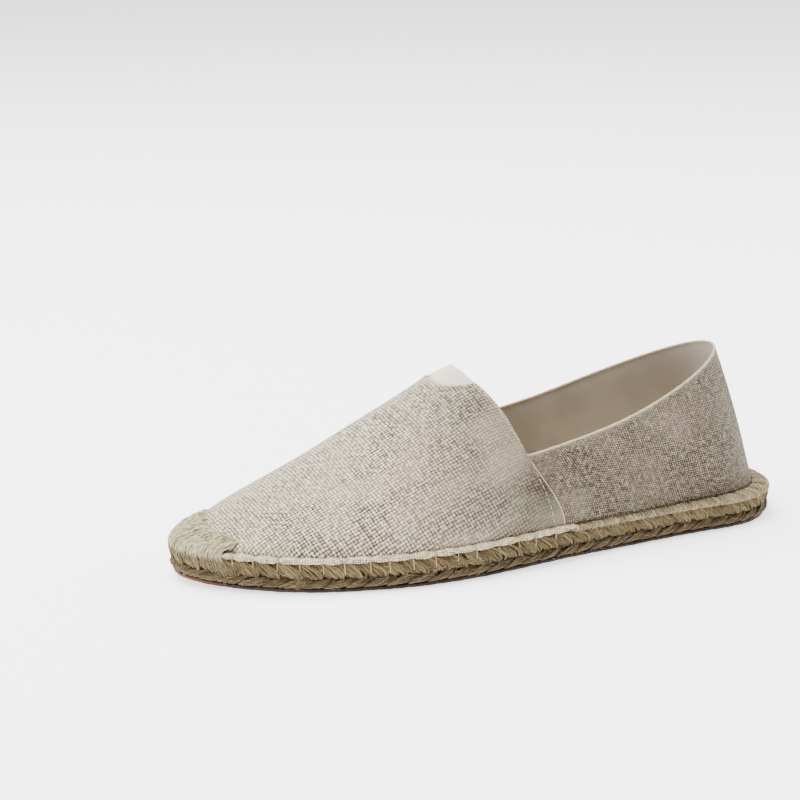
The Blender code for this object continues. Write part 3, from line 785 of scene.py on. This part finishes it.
def stitch_fractions(sign):
    """Places of the stitches that tie the hem to the braid, from the toe wrap to the seam."""
    span = (CAP[sign] - SEAM[sign]) * ROUND
    count = int(span / STITCH_PITCH)
    jitter = np.random.RandomState(5 + sign).uniform(-0.0008, 0.0008, count)
    g = CAP[sign] - (np.arange(count) * STITCH_PITCH + 0.0045 + jitter) / ROUND
    return g if sign < 0 else 1 - g


STITCHES = np.sort(np.concatenate([stitch_fractions(-1), stitch_fractions(1)]))


def near_stitch(fractions, width):
    away = np.abs(np.mod(np.asarray(fractions)[:, None] - STITCHES[None] + 0.5, 1) - 0.5) * ROUND
    return hill(away, width).max(1)


def creased(up, fractions, creases):
    """Soft troughs and ridges in a skin, each an oval patch in its own direction."""
    depth = np.zeros(up.shape)
    for c in creases:
        column = np.argmin(np.abs(fractions - c.round))
        u = (fractions - c.round)[:, None] * ROUND
        v = up - up[column, -1] * c.up
        ahead = u * math.cos(c.turn) + v * math.sin(c.turn)
        beside = v * math.cos(c.turn) - u * math.sin(c.turn)
        depth += c.depth * hill(ahead, c.length) * hill(beside, c.width)
    return depth


front_places = np.linspace(SEAM[-1], 1 - SEAM[1], 321)
front_shares = 1 - (1 - np.linspace(0, 1, 101)) ** 1.15
vamp_base = skin(front_places, front_shares)
vamp_out = normals_of(vamp_base)
up_vamp = row_lengths(vamp_base)
below_edge = up_vamp[:, -1:] - up_vamp
pucker = near_stitch(front_places, 0.0022)[:, None] * hill(up_vamp, 0.007) * 0.00035
vamp_depth = creased(up_vamp, front_places, VAMP_CREASES) - pucker
notch_side = ease((NOTCH_HALF + 0.001 - np.abs(vamp_base[:, -1:, 0] - NOTCH_CENTRE)) / 0.003)
edge_drop = 0.0004 * notch_side * hill(below_edge, 0.0009)
vamp_grid = vamp_base + vamp_out * (VAMP_STEP + vamp_depth - edge_drop)[..., None]
vamp_threads = thread_places(vamp_base)
# Painted shade: the cut's third value goes below zero towards the seam, and the linen darkens there.
towards_seam = np.clip((0.70 - share(vamp_base[..., 1])) / 0.25, 0, 1)
seam_painted_shade = towards_seam * (0.45 + 0.55 * ease(np.abs(vamp_threads[0]) / 0.030))
vamp_cut = np.stack([*vamp_threads, hill(below_edge, 0.0012) * 0.8 - seam_painted_shade], -1)
lay_cloth("vamp", vamp_grid, vamp_cut, vamp_linen, stands_for=["upper"], slot="upper")

# %% [markdown]
# The quarters wrap the heel in one strip, whose ends run under the vamp's edge.
# They stand almost upright and sag a little between the collar and the sole.
# Shallow waves along the strip keep it from looking like a pressed plate.

# %% Quarters
QUARTER_CREASES = [
    Crease(1.115, 0.42, 0.030, 0.0060, -0.00050, 0.15),
    Crease(1.060, 0.30, 0.020, 0.0050, 0.00040, 0.10),
    Crease(1.165, 0.62, 0.020, 0.0050, 0.00035, -0.20),
    Crease(0.885, 0.42, 0.030, 0.0060, -0.00050, -0.15),
    Crease(0.985, 0.22, 0.018, 0.0045, -0.00040, 0.0),
]
rear_places = np.linspace(1 - SEAM[1] - 0.004, 1 + SEAM[-1] + 0.004, 281)
rear_shares = np.linspace(0, 1, 51)
quarter_base = skin(rear_places, rear_shares)
quarter_out = normals_of(quarter_base)
up_quarter = row_lengths(quarter_base)
slow_wave = np.sin(rear_places * ROUND / 0.011)[:, None] * np.sin(math.pi * rear_shares)[None] * 0.00012
quarter_depth = creased(up_quarter, rear_places, QUARTER_CREASES) + slow_wave
quarter_grid = quarter_base + quarter_out * quarter_depth[..., None]
quarter_wear = hill(up_quarter[:, -1:] - up_quarter, 0.0010) * 0.5
quarter_cut = strip_cut(rear_places * ROUND, up_quarter, quarter_wear)
# The quarters' linen carries painted shade in its darker colours.
lay_cloth("quarters", quarter_grid, quarter_cut, quarter_shaded_linen, slot="upper")

# %% [markdown]
# Inside, a cotton lining follows the same form one wall thickness in.
# It is smoother than the linen, and its foot goes down behind the insole's edge.

# %% Lining
ring_places = np.linspace(0.5, 1.5, 341)
lining_shares = np.linspace(0, 1, 61)
lining_base = skin(ring_places, lining_shares)
lining_out = normals_of(lining_base)
lining_up = row_lengths(lining_base)
ripple = np.sin(ring_places * ROUND / 0.0045)[:, None] * hill(lining_up - 0.006, 0.006) * 0.00015
rim_thin = 0.0006 * hill(lining_up[:, -1:] - lining_up, 0.004)
lining_grid = lining_base - lining_out * (WALL - 0.0002 - rim_thin + ripple)[..., None]
lining_cut = strip_cut(ring_places * ROUND, lining_up)
lay_cloth("lining", lining_grid, lining_cut, lining_cotton, inside_out=True, slot="upper")

# %% [markdown]
# Both edges of the cloth are turned over and sewn, so each shows as a thin pale roll.
# A tube along the edge does this: its radius is half the folded cloth's thickness.

# %% Rolled edges
collar_places = np.linspace(1 - SEAM[1] - 0.003, 1 + SEAM[-1] + 0.003, 241)
collar_base = skin(collar_places, np.array([0.90, 0.97, 1.0]))
collar_out = normals_of(collar_base)[:, -1]
collar_path = collar_base[:, -1] - collar_out * 0.0005 + np.array([0, 0, 0.0002])
collar_radius = 0.00056 + 0.00005 * np.sin(np.arange(len(collar_path)) * 0.9)
collar = collar_path[None], collar_radius[None], collar_out[None]
twist_cords("collar_roll", *collar, binding_cotton, 10, 0.95, slot="upper")

in_notch = ease((NOTCH_HALF - np.abs(vamp_base[:, -1, 0] - NOTCH_CENTRE)) / 0.002)
throat_path = vamp_base[:, -1] + vamp_out[:, -2] * (0.0001 + 0.0002 * in_notch)[:, None]
left_seam = vamp_grid[0] - vamp_out[0] * 0.0003
right_seam = vamp_grid[-1] - vamp_out[-1] * 0.0003
fold_path = np.concatenate([left_seam[:-1], throat_path, right_seam[::-1][1:]])
fold_away = np.concatenate([vamp_out[0][:-1], vamp_out[:, -2], vamp_out[-1][::-1][1:]])
at_throat = np.concatenate([0 * left_seam[:-1, 0], 1 + 0 * throat_path[:, 0], 0 * right_seam[1:, 0]])
soft = np.convolve(np.pad(at_throat, 6, mode="edge"), np.ones(13) / 13, "valid")
outside = ease((np.abs(fold_path[:, 0] - NOTCH_CENTRE) - NOTCH_HALF + 0.0015) / 0.003)
fold_radius = 0.00036 + 0.00030 * soft * outside - 0.00024 * soft * (1 - outside)
fold = fold_path[None], fold_radius[None], fold_away[None]
twist_cords("vamp_fold", *fold, binding_cotton, 9, slot="upper")

# %% [markdown]
# At the foot the linen is folded under into a puffy roll that sits on the braid.
# Each stitch pulls the roll in, so it swells between them like a row of small cushions.
# Behind the seam the roll is lower, since the quarter is only tacked down there.

# %% Hem
CINCH = 0.00045


def foot_roll(name, places, rise, finish, full=0.46, low=0.00125, tall=0.00150):
    """A roll of cloth round the foot of the upper; rise is how full it is at each place."""
    turn = np.radians(np.linspace(158, -75, 17))
    outer = 0.0004 + 0.0006 * (1 - rise)
    lip = lip_width(places) - outer
    mid = outer + lip * full
    wide = lip * (1.02 - full)
    high = tall * (0.75 + 0.25 * rise)
    uneven = 0.00010 * np.sin(places * 310) + 0.00008 * np.sin(places * 823 + 1)
    squeeze = 1 - CINCH * near_stitch(places, 0.0014) * rise / high + uneven / high
    a = mid[:, None] - (wide * squeeze)[:, None] * np.cos(turn)[None]
    b = SOLE_TOP + low + (high * squeeze)[:, None] * np.sin(turn)[None]
    grid = beside_rim(np.broadcast_to(places[:, None], a.shape), a, b)
    up = row_lengths(grid)
    worn = 0.35 * hill(up - up[:, 8:9], 0.001)
    cut = strip_cut(places * ROUND, up, worn)
    return lay_cloth(name, grid[:, ::-1], cut[:, ::-1], finish, slot="upper")


hem_places = np.linspace(1 + SEAM[-1] - 0.004, 1 + CAP[-1] + 0.004, 301)
foot_roll("hem_lateral", hem_places, ease((hem_places - hem_places[0]) / 0.012), hem_linen)
hem_places = np.linspace(1 - CAP[1] - 0.004, 1 - SEAM[1] + 0.004, 301)
foot_roll("hem_medial", hem_places, ease((hem_places[-1] - hem_places) / 0.012), hem_linen)
welt_places = np.linspace(1 - SEAM[1], 1 + SEAM[-1], 521)
foot_roll("heel_welt", welt_places, np.full(len(welt_places), 0.25), welt_jute, 0.42, 0.00030, 0.00110)

# %% [markdown]
# Behind the seam jute thread is whipped over the sole's lip, which holds the quarter's foot.
# Each turn is one short cord over the welt, slanted and a little uneven as by hand.

# %% Whipping round the heel
WHIP_PITCH = 0.00150
WHIP_EDGE = 0.0009


def heel_whipping(name, seed):
    chance = np.random.RandomState(seed)
    count = int((SEAM[1] + SEAM[-1]) * ROUND / WHIP_PITCH)
    f = 1 - SEAM[1] + (np.arange(count) + chance.uniform(-0.3, 0.3, count)) * WHIP_PITCH / ROUND
    turn = np.radians(np.linspace(150, -62, 12))
    lip = lip_width(f) - WHIP_EDGE
    a = (WHIP_EDGE + lip * 0.42)[:, None] - (lip * 0.62)[:, None] * np.cos(turn)[None]
    tall = 0.00125 + chance.uniform(-0.00012, 0.00020, (count, 1))
    b = SOLE_TOP + 0.00030 + tall * np.sin(turn)[None]
    lean = chance.uniform(0.0010, 0.0026, (count, 1)) * np.linspace(-0.5, 0.5, 12)[None] / ROUND
    places = f[:, None] + lean
    away = outward_at(places)
    away[..., 2] = np.clip(np.sin(turn), 0, 1)[None]
    thick = 0.00034 * chance.uniform(0.7, 1.2, (count, 1)) * np.ones((1, 12))
    return twist_cords(name, beside_rim(places, a, b), thick, away, whip_jute, 6, slot="upper")


heel_whipping("heel_whipping", 19)

# %% [markdown]
# A braid of jute is laid on edge round the sole, so its side shows as two rows of leaves.
# Each leaf is a bundle of yarns that rises out of the middle groove and slants to the toe.
# Yarn by yarn modelling gives the true shadows between them, which no relief map can.

# %% Braid
LEAF_PITCH = 0.0090
YARNS = 9
LEAVES = int(round(ROUND / LEAF_PITCH))
YARN_RADIUS = 0.00057
GROOVE = 0.39


def braid_row(name, upper, seed, finish):
    chance = np.random.RandomState(seed)
    leaf, yarn = np.meshgrid(np.arange(LEAVES), np.arange(YARNS), indexing="ij")
    leaf, yarn = leaf.ravel()[:, None], yarn.ravel()[:, None]
    t = np.linspace(0, 1, 11)[None]
    place_in = (yarn - (YARNS - 1) / 2) / YARNS
    spread = 0.62 + 0.55 * np.sin(math.pi * t) ** 0.8
    wander = chance.uniform(-0.6, 0.6, (len(leaf), 1)) / YARNS
    sway = chance.uniform(-1, 1, (len(leaf), 1)) * np.sin(math.pi * t * 1.5 + leaf) * 0.05
    slant = 0.0070 if upper else 0.0082
    f = (leaf + (0.5 if upper else 0.0) + (place_in + wander) * spread + sway) / LEAVES
    f = f + slant * (t - 0.25) / ROUND
    reach = (1.0 - GROOVE + 0.03) * t ** 0.85
    height = GROOVE + reach if upper else GROOVE - GROOVE * 0.97 * t**0.85
    swell = np.sin(math.pi * np.clip(t * 0.92 + 0.06, 0, 1)) ** 0.6
    inset = 0.00215 - 0.00150 * swell
    tilt = place_in * 0.00110 * (1 if upper else -1)
    inset = inset + tilt + chance.uniform(-0.00034, 0.00034, (len(leaf), 1))
    z = SOLE_BOTTOM + (SOLE_TOP - SOLE_BOTTOM) * height
    lines = beside_rim(f, inset, z)
    thick = YARN_RADIUS * (0.62 + 0.42 * swell) * chance.uniform(0.84, 1.12, (len(leaf), 1))
    return twist_cords(name, lines, thick, outward_at(f), finish, 6, 0.8, slot="jute_sole")


braid_row("braid_upper_row", True, 11, braid_jute)
braid_row("braid_lower_row", False, 23, braid_lower_shaded_jute)
print(LEAVES, "leaves in each row, with", YARNS, "yarns each")


def loose_fibres(name, count, finish):
    """Single fibres that have worked out of the braid."""
    chance = np.random.RandomState(47)
    f = chance.rand(count, 1)
    t = np.linspace(0, 1, 6)[None]
    length = chance.uniform(0.002, 0.006, (count, 1))
    heading = chance.uniform(0, 2 * math.pi, (count, 1))
    bend = chance.uniform(-1.2, 1.2, (count, 1))
    run = np.cumsum(np.cos(heading + bend * t), 1) * length / 6
    rise = np.cumsum(np.sin(heading + bend * t), 1) * length / 6 * 0.6
    z = np.clip(chance.uniform(0.003, 0.0125, (count, 1)) + rise, 0.0024, 0.0150)
    inset = 0.0008 - chance.uniform(0.0006, 0.0016, (count, 1)) * np.sin(math.pi * 0.8 * t)
    places = f + run / ROUND
    lines, thick = beside_rim(places, inset, z), np.full(places.shape, 0.00006)
    return twist_cords(name, lines, thick, outward_at(places), finish, 3, slot="jute_sole")


loose_fibres("loose_fibres", 1100, whip_jute)

# %% [markdown]
# Slabs fill the sole: a felted jute core behind the yarns, the insole and a rubber sheet.
# Each slab is rings shrunk towards the shoe's centre line, below, round its edge and above.

# %% Core, insole and rubber sheet
SHRINK = (0.0, 0.25, 0.5, 0.75, 0.9)
# Span of the toe where the rubber is painted lighter, as light.
RED_TOE = (0.925, 0.985)


def slab(name, profile, finish, count=480, dish=0.0, wavy=0.0, **more):
    """A closed slab; profile lists inset and height round its edge, from below to above."""
    f = np.linspace(0.5, 1.5, count + 1)
    columns = [(scale, *profile[0]) for scale in SHRINK]
    columns += [(1.0, *row) for row in profile]
    columns += [(scale, *profile[-1]) for scale in reversed(SHRINK)]
    grid = []
    for k, (scale, inset, z) in enumerate(columns):
        spot = ring(Inset(*(inset if isinstance(inset, tuple) else (inset,) * 3)), f)
        centre = section(spot[:, 1], EDGE)[0]
        x = centre + (spot[:, 0] - centre) * scale
        low = dish * (1 - scale**2) if k > len(columns) / 2 else 0.0
        ripple = wavy * (np.sin(f * 260) + np.sin(f * 617 + 2)) * (scale == 1.0)
        grid.append(np.stack([x, spot[:, 1], z - low + ripple + lift(spot[:, 1])], -1))
    grid = np.stack(grid, 1)
    # Painted light: this value lightens the rubber at the toe, and the insole's cloth there too.
    wear_and_painted_light = ease((share(grid[..., 1]) - RED_TOE[0]) / (RED_TOE[1] - RED_TOE[0]))
    cut = np.stack([grid[..., 0] + 0.3 * grid[..., 2], grid[..., 1], wear_and_painted_light], -1)
    return lay_cloth(name, grid, cut, finish, **more)


core_profile = [
    (0.0030, SOLE_BOTTOM),
    (0.0018, SOLE_BOTTOM + 0.0007),
    (0.0017, 0.0070),
    (0.0018, SOLE_TOP - 0.0010),
    (0.0030, SOLE_TOP - 0.0001),
]
slab("sole_core", core_profile, core_jute, stands_for=["jute_sole"], slot="jute_sole")

SOLE_EDGE = 0.0015
rubber_profile = [
    (0.0026, 0.0),
    (SOLE_EDGE + 0.0002, 0.0004),
    (SOLE_EDGE, 0.0011),
    (SOLE_EDGE + 0.0001, 0.0018),
    (0.0024, 0.0020),
]
slab("rubber_sheet", rubber_profile, sole_rubber, wavy=0.00005, stands_for=["outsole"], slot="outsole")

INSOLE_INSET = 0.0022


def inside_foot(more, toe_more):
    """The insole's edge: inside the linen and lining, and further in at the toe."""
    inset = INSOLE_INSET + more
    return SIDE_LIP + inset, HEEL_LIP + inset, TOE_LIP + INSOLE_INSET + toe_more


insole_profile = [
    (inside_foot(0.0, 0.0025), SOLE_TOP + 0.0003),
    (inside_foot(0.0, 0.0025), SOLE_TOP + 0.0022),
    (inside_foot(0.0004, 0.0030), SOLE_TOP + 0.0027),
    (inside_foot(0.0016, 0.0045), SOLE_TOP + 0.0029),
]
slab("sock_lining", insole_profile, insole_cotton, dish=0.0005, stands_for=["insole"], slot="insole")

# %% [markdown]
# Over the toe, jute thread is wound down from the linen and over the braid to guard it.
# Three layers of fine thread lie over a felt of fibre, each thread a cord on the last's form.
# At both ends of the wrap the threads run lower and slant away, where the winding is tied off.

# %% Toe wrap
CAP_SIDE, CAP_MIDDLE = 0.0042, 0.0112
CAP_THICK, CAP_THINNING = 0.0010, 0.60
THREAD_PITCH = 0.00078
WRAP_BEND = 0.0136


def wrap_side(f):
    """How far round the wrap a place is: -1 at the lateral end, 1 at the medial one."""
    middle = (CAP[-1] + 1 - CAP[1]) / 2
    return (f - middle) / (1 - CAP[1] - middle)


def wrapped(f, reach, low, slip, proud):
    """Lines up over the braid's edge, across the sole's lip and on up the linen."""
    fine = np.linspace(0, 1, 241) ** 1.3
    coarse = np.linspace(0, 1, 61)
    base, normal = skin(f, fine), normals_of(skin(f, coarse))
    length = row_lengths(base)
    fall = np.linspace(0, 1, 8)[None]
    z = low[:, None] + (WRAP_BEND - low[:, None]) * fall
    inset = 0.0014 - 0.0015 * np.sin(math.pi / 2 * np.clip(fall * 2.4, 0, 1)) + 0.0003 * fall**4
    places = f[:, None] + slip[:, None] * (1 - fall) / ROUND
    below = beside_rim(places, inset - proud, z)
    above = []
    for n in range(len(f)):
        up = np.linspace(0.0022, reach[n], 12)
        at = np.interp(up, length[n], fine)
        spot, away = read_at(up, length[n], base[n]), read_at(at, coarse, normal[n])
        t = up / reach[n]
        thick = CAP_THICK * (1 - CAP_THINNING * t**2)
        stand = (VAMP_STEP + 0.0003 + proud + thick) * (1 - 0.72 * t**7)
        above.append(np.concatenate([spot + away * stand[:, None], away], 1))
    above = np.array(above)
    first, last = below[:, -1:], above[:, :1, :3]
    corner = first[..., :2] + (last[..., :2] - first[..., :2]) * 0.20
    corner = np.concatenate([corner, last[..., 2:] + 0.0002], -1)
    t = np.linspace(0, 1, 8)[None, 1:-1, None]
    over = first * (1 - t) ** 2 + corner * (2 * t * (1 - t)) + last * t**2
    out, up_out = outward_at(places), above[..., 3:]
    turning = out[:, -1:] * (1 - t) + up_out[:, :1] * t
    return np.concatenate([below, over, above[..., :3]], 1), np.concatenate([out, turning, up_out], 1)


def wrap_reach(side):
    """How far up the linen the wrap comes: most in the middle, least at its ends."""
    return CAP_SIDE + (CAP_MIDDLE - CAP_SIDE) * np.clip(1 - side**2, 0, 1)


def toe_wrap(name, layer, seed):
    chance = np.random.RandomState(seed)
    count = int((1 - CAP[1] - CAP[-1]) * ROUND / THREAD_PITCH)
    f = CAP[-1] + (np.arange(count) + 0.33 * layer + chance.uniform(-0.3, 0.3, count)) * THREAD_PITCH / ROUND
    side = wrap_side(f)
    reach = wrap_reach(side) + 0.0006 + chance.uniform(-0.0016, 0.0012, count)
    low = 0.0098 - 0.0046 * ease((np.abs(side) - 0.50) / 0.42) + chance.uniform(-0.0016, 0.0014, count)
    slip = chance.uniform(-0.0016, 0.0016, count) + 0.0068 * side**3
    lines, away = wrapped(f, reach, low, slip, 0.0)
    run = np.linspace(0, 1, lines.shape[1])[None]
    phase = chance.uniform(0, 6.3, (count, 1))
    weave = np.sin(run * chance.uniform(5, 13, (count, 1)) + phase) * 0.00050
    beside = unit(np.cross(away, np.gradient(lines, axis=1)))
    height = np.sin(run * 9 + phase * 3) * 0.00022 - 0.00016 * layer
    lines = lines + beside * weave[..., None] + away * height[..., None]
    ends = np.clip(np.minimum(run * 9, (1 - run) * 7) + 0.45, 0.45, 1)
    thick = 0.00035 * chance.uniform(0.70, 1.25, (count, 1)) * ends
    return twist_cords(name, lines, thick, away, toe_jute, 6, zero=7, slot="toe_cap")


def toe_felt():
    """The mass of fibre under the threads, which closes the gaps between them."""
    f = np.linspace(CAP[-1] + 0.0006, 1 - CAP[1] - 0.0006, 141)
    lines = wrapped(f, wrap_reach(wrap_side(f)) - 0.0010, np.full(len(f), 0.0118), 0 * f, -0.00045)[0]
    cut = strip_cut(f * ROUND, row_lengths(lines))
    return lay_cloth("toe_felt", lines, cut, cap_jute, stands_for=["toe_cap"], slot="toe_cap")


toe_felt()
toe_wrap("toe_threads_under", 2, 31)
toe_wrap("toe_threads_middle", 1, 37)
toe_wrap("toe_threads", 0, 41)

# %% [markdown]
# Cream cotton cord ties the hem to the braid: over the roll, down and into the groove.
# Behind the seam a machine has run a brown thread along the quarter's foot instead.

# %% Stitches
STITCH_EDGE = 0.0005
roll_turn = np.radians(np.linspace(140, -18, 7))


def hem_stitches():
    chance = np.random.RandomState(3)
    f = STITCHES
    lip = lip_width(f) - STITCH_EDGE
    a = (STITCH_EDGE + lip * 0.46)[:, None] - (lip * 0.56 - 0.0002)[:, None] * np.cos(roll_turn)[None]
    b = np.broadcast_to(SOLE_TOP + 0.00125 + 0.00134 * np.sin(roll_turn), a.shape)
    fall = np.linspace(0.0, 1.0, 7)[1:]
    end = 0.0084 + chance.uniform(-0.0008, 0.0008, len(f))
    z = b[:, -1:] + (end[:, None] - b[:, -1:]) * fall[None]
    inset = a[:, -1:] + (0.00002 - a[:, -1:]) * np.sin(math.pi * np.clip(fall, 0, 0.62))[None]
    inset = inset + 0.0016 * ease((fall - 0.8) / 0.2)[None]
    lean = chance.uniform(-0.0007, 0.0004, (len(f), 1))
    run = np.concatenate([0 * roll_turn, fall])[None] * lean / ROUND
    places = f[:, None] + run
    lines = beside_rim(places, np.concatenate([a, inset], 1), np.concatenate([b, z], 1))
    away = outward_at(places)
    away[:, :4, 2] = 1.0
    thick = 0.00019 * chance.uniform(0.75, 1.15, (len(f), 1)) * np.ones((1, lines.shape[1]))
    thick[:, -1] *= 0.5
    return twist_cords("hem_stitches", lines, thick, away, cream_thread, 8, slot="upper")


hem_stitches()

DASH_PITCH = 0.0030
dash_span = (SEAM[1] + SEAM[-1]) * ROUND
dash_places = (1 - SEAM[1] + 0.004) + np.arange(int(dash_span / DASH_PITCH) - 2) * DASH_PITCH / ROUND
dash = dash_places[:, None] + np.linspace(-0.5, 0.5, 6)[None] * 0.0020 / ROUND
dash_base = skin(dash.ravel(), np.linspace(0, 0.12, 9))
dash_out = normals_of(dash_base)[:, 2].reshape(dash.shape + (3,))
dash_line = dash_base[:, 1].reshape(dash.shape + (3,))
dive = np.array([-0.0003, 0.00012, 0.0002, 0.0002, 0.00012, -0.0003])
dash_line = dash_line + dash_out * dive[None, :, None]
dash_thick = np.full(dash.shape, 0.00024)
twist_cords("quarter_stitches", dash_line, dash_thick, dash_out, brown_thread, 6, slot="upper")

# %% [markdown]
# A row of small machine stitches runs just inside the vamp's folded edge.
# Each is a short thread that dives into the cloth at both ends.

# %% Stitch rows on the vamp
SEW_PITCH = 0.0031


def sewn_row(name, path, away, finish, length=0.0023, radius=0.00019):
    arc = arc_lengths(path)
    starts = np.arange(0.002, arc[-1] - 0.003, SEW_PITCH)
    spots = starts[:, None] + np.linspace(0, length, 6)[None]
    line, out = read_at(spots, arc, path), read_at(spots, arc, away)
    depth = np.array([-0.0002, 0.00010, 0.00016, 0.00016, 0.00010, -0.0002])
    line, thick = line + out * depth[None, :, None], np.full(spots.shape, radius)
    return twist_cords(name, line, thick, out, finish, 6, slot="upper")


def inside_edge(grid, columns=5, rows=4):
    """A line up one seam, round the throat and down the other, a few steps in."""
    left, right = grid[columns, :-rows], grid[-columns, :-rows]
    return np.concatenate([left, grid[columns:-columns, -rows], right[::-1]])


sewn_row("vamp_stitches", inside_edge(vamp_grid), inside_edge(vamp_out), cream_thread)

# %% [markdown]
# Elastic under the notch lets the shoe stretch over the instep.
# It is a thin knitted band that swells up into the opening and tucks under the linen.

# %% Elastic tab
TAB_THICK, TAB_TUCK = 0.0012, 0.0070
TAB_SHOWN = 0.62
tab_across = np.linspace(-NOTCH_HALF - TAB_SIDE, NOTCH_HALF + TAB_SIDE, 61)
tab_x = NOTCH_CENTRE + tab_across
tab_rear = place(throat_share(tab_x)) + 0.0001
tab_edge = np.maximum(linen_edge(tab_x), tab_rear + 0.0016)
tab_t = np.linspace(0, 1, 22)
shown = np.clip(tab_t / TAB_SHOWN, 0, 1)
tucked = np.clip((tab_t - TAB_SHOWN) / (1 - TAB_SHOWN), 0, 1)
tab_y = tab_rear[:, None] + (tab_edge - tab_rear)[:, None] * shown[None] + TAB_TUCK * tucked[None]
tab_plan = np.stack([np.broadcast_to(tab_x[:, None], tab_y.shape), tab_y], -1)
tab_base = lay(tab_plan)
tab_normal = -normals_of(tab_base)
middle = ease((NOTCH_HALF + 0.0022 - np.abs(tab_across)) / 0.0030)[:, None]
inward = ease((tab_edge[:, None] + 0.0014 - tab_y) / 0.0022)
swell = 0.0013 * hill(tab_across + 0.0070, 0.0060) - 0.0003 * hill(tab_across - 0.001, 0.0035)
puff = swell[:, None] * ease((tab_edge[:, None] - tab_y) / 0.006)
tab_depth = 0.0007 - 0.0010 * middle * inward - puff
tab_top = tab_base - tab_normal * tab_depth[..., None]
tab_under = tab_base - tab_normal * (tab_depth + TAB_THICK)[..., None]
half_way = (tab_top[:, 0] + tab_under[:, 0]) / 2
behind = unit(tab_top[:, 0] - tab_top[:, 1])
tab_nose = []
for turn in np.linspace(0, math.pi, 7)[1:-1]:
    outward = behind * math.sin(turn) - tab_normal[:, 0] * math.cos(turn)
    tab_nose.append(half_way + outward * TAB_THICK / 2)
tab_grid = np.concatenate([tab_under[:, ::-1], np.stack(tab_nose, 1), tab_top], 1)
tab_cut = strip_cut(tab_across, row_lengths(tab_grid))
lay_cloth("elastic_tab", tab_grid, tab_cut, elastic_cotton, inside_out=True,
          stands_for=["throat_gusset"], slot="throat_gusset")

# %% [markdown]
# The photograph was taken from beside the toe with a long lens.
# The camera's place was worked out from points of the shoe, so no lens shift is needed.

# %% Camera
LENS = 97.39
EYE = Vector((-0.8393, 0.3748, 0.3166))
AZIMUTH, ELEVATION, ROLL = math.radians(-111.856), math.radians(15.349), math.radians(-0.474)
level = math.cos(ELEVATION)
back = Vector((math.sin(AZIMUTH) * level, -math.cos(AZIMUTH) * level, math.sin(ELEVATION)))
sideways = Vector((math.cos(AZIMUTH), math.sin(AZIMUTH), 0))
above = back.cross(sideways)
right = sideways * math.cos(ROLL) + above * math.sin(ROLL)
upward = above * math.cos(ROLL) - sideways * math.sin(ROLL)
camera_data = bpy.data.cameras.new("camera")
camera_data.lens, camera_data.sensor_width = LENS, 36.0
camera_data.clip_start = 0.01
camera = bpy.data.objects.new("camera", camera_data)
camera.matrix_world = Matrix.Translation(EYE) @ Matrix((right, upward, back)).transposed().to_4x4()
bpy.context.scene.collection.objects.link(camera)
bpy.context.scene.camera = camera

# %% [markdown]
# A product photograph has one wide soft light above and pale walls all round.
# The key light hangs over the far side, towards the toe, so the side towards us is darker.
# The floor glows a little, as white paper does in a bright studio.

# %% Floor and lights
FLOOR_HALF = 6.0
FLOOR_GLOW = 1.65
SKY_GLOW = 0.22
floor_corners = [(x * FLOOR_HALF, y * FLOOR_HALF, 0) for x, y in ((-1, -1), (1, -1), (1, 1), (-1, 1))]
floor_mesh = bpy.data.meshes.new("floor")
floor_mesh.from_pydata(floor_corners, [], [(0, 1, 2, 3)])
floor = bpy.data.objects.new("floor", floor_mesh)
bpy.context.scene.collection.objects.link(floor)
floor_finish = bpy.data.materials.new("floor_paper")
floor_finish.use_nodes = True
floor_shader = floor_finish.node_tree.nodes["Principled BSDF"]
floor_shader.inputs["Base Color"].default_value = (0.92, 0.92, 0.92, 1.0)
floor_shader.inputs["Roughness"].default_value = 0.9
floor_shader.inputs["Emission Color"].default_value = (1.0, 1.0, 1.0, 1.0)
floor_shader.inputs["Emission Strength"].default_value = FLOOR_GLOW
floor_mesh.materials.append(floor_finish)

world = bpy.data.worlds.new("studio")
world.use_nodes = True
sky = world.node_tree.nodes["Background"]
sky.inputs["Color"].default_value = (1.0, 1.0, 1.0, 1.0)
sky.inputs["Strength"].default_value = SKY_GLOW
bpy.context.scene.world = world

LAMP_AIM = Vector((0, 0, 0.03))
Lamp = namedtuple("Lamp", "name place size power")
LAMPS = [
    Lamp("overhead", (0.40, 0.35, 1.7), 1.8, 138.0),
    Lamp("toe_side", (-0.2, 1.6, 1.1), 1.0, 30.0),
    Lamp("heel_side", (0.2, -1.7, 1.0), 0.9, 26.0),
]
for lamp in LAMPS:
    light = bpy.data.lights.new(lamp.name, "AREA")
    light.size, light.energy = lamp.size, lamp.power
    holder = bpy.data.objects.new(lamp.name, light)
    holder.location = lamp.place
    holder.rotation_mode = "QUATERNION"
    holder.rotation_quaternion = (LAMP_AIM - Vector(lamp.place)).to_track_quat("-Z", "Y")
    bpy.context.scene.collection.objects.link(holder)
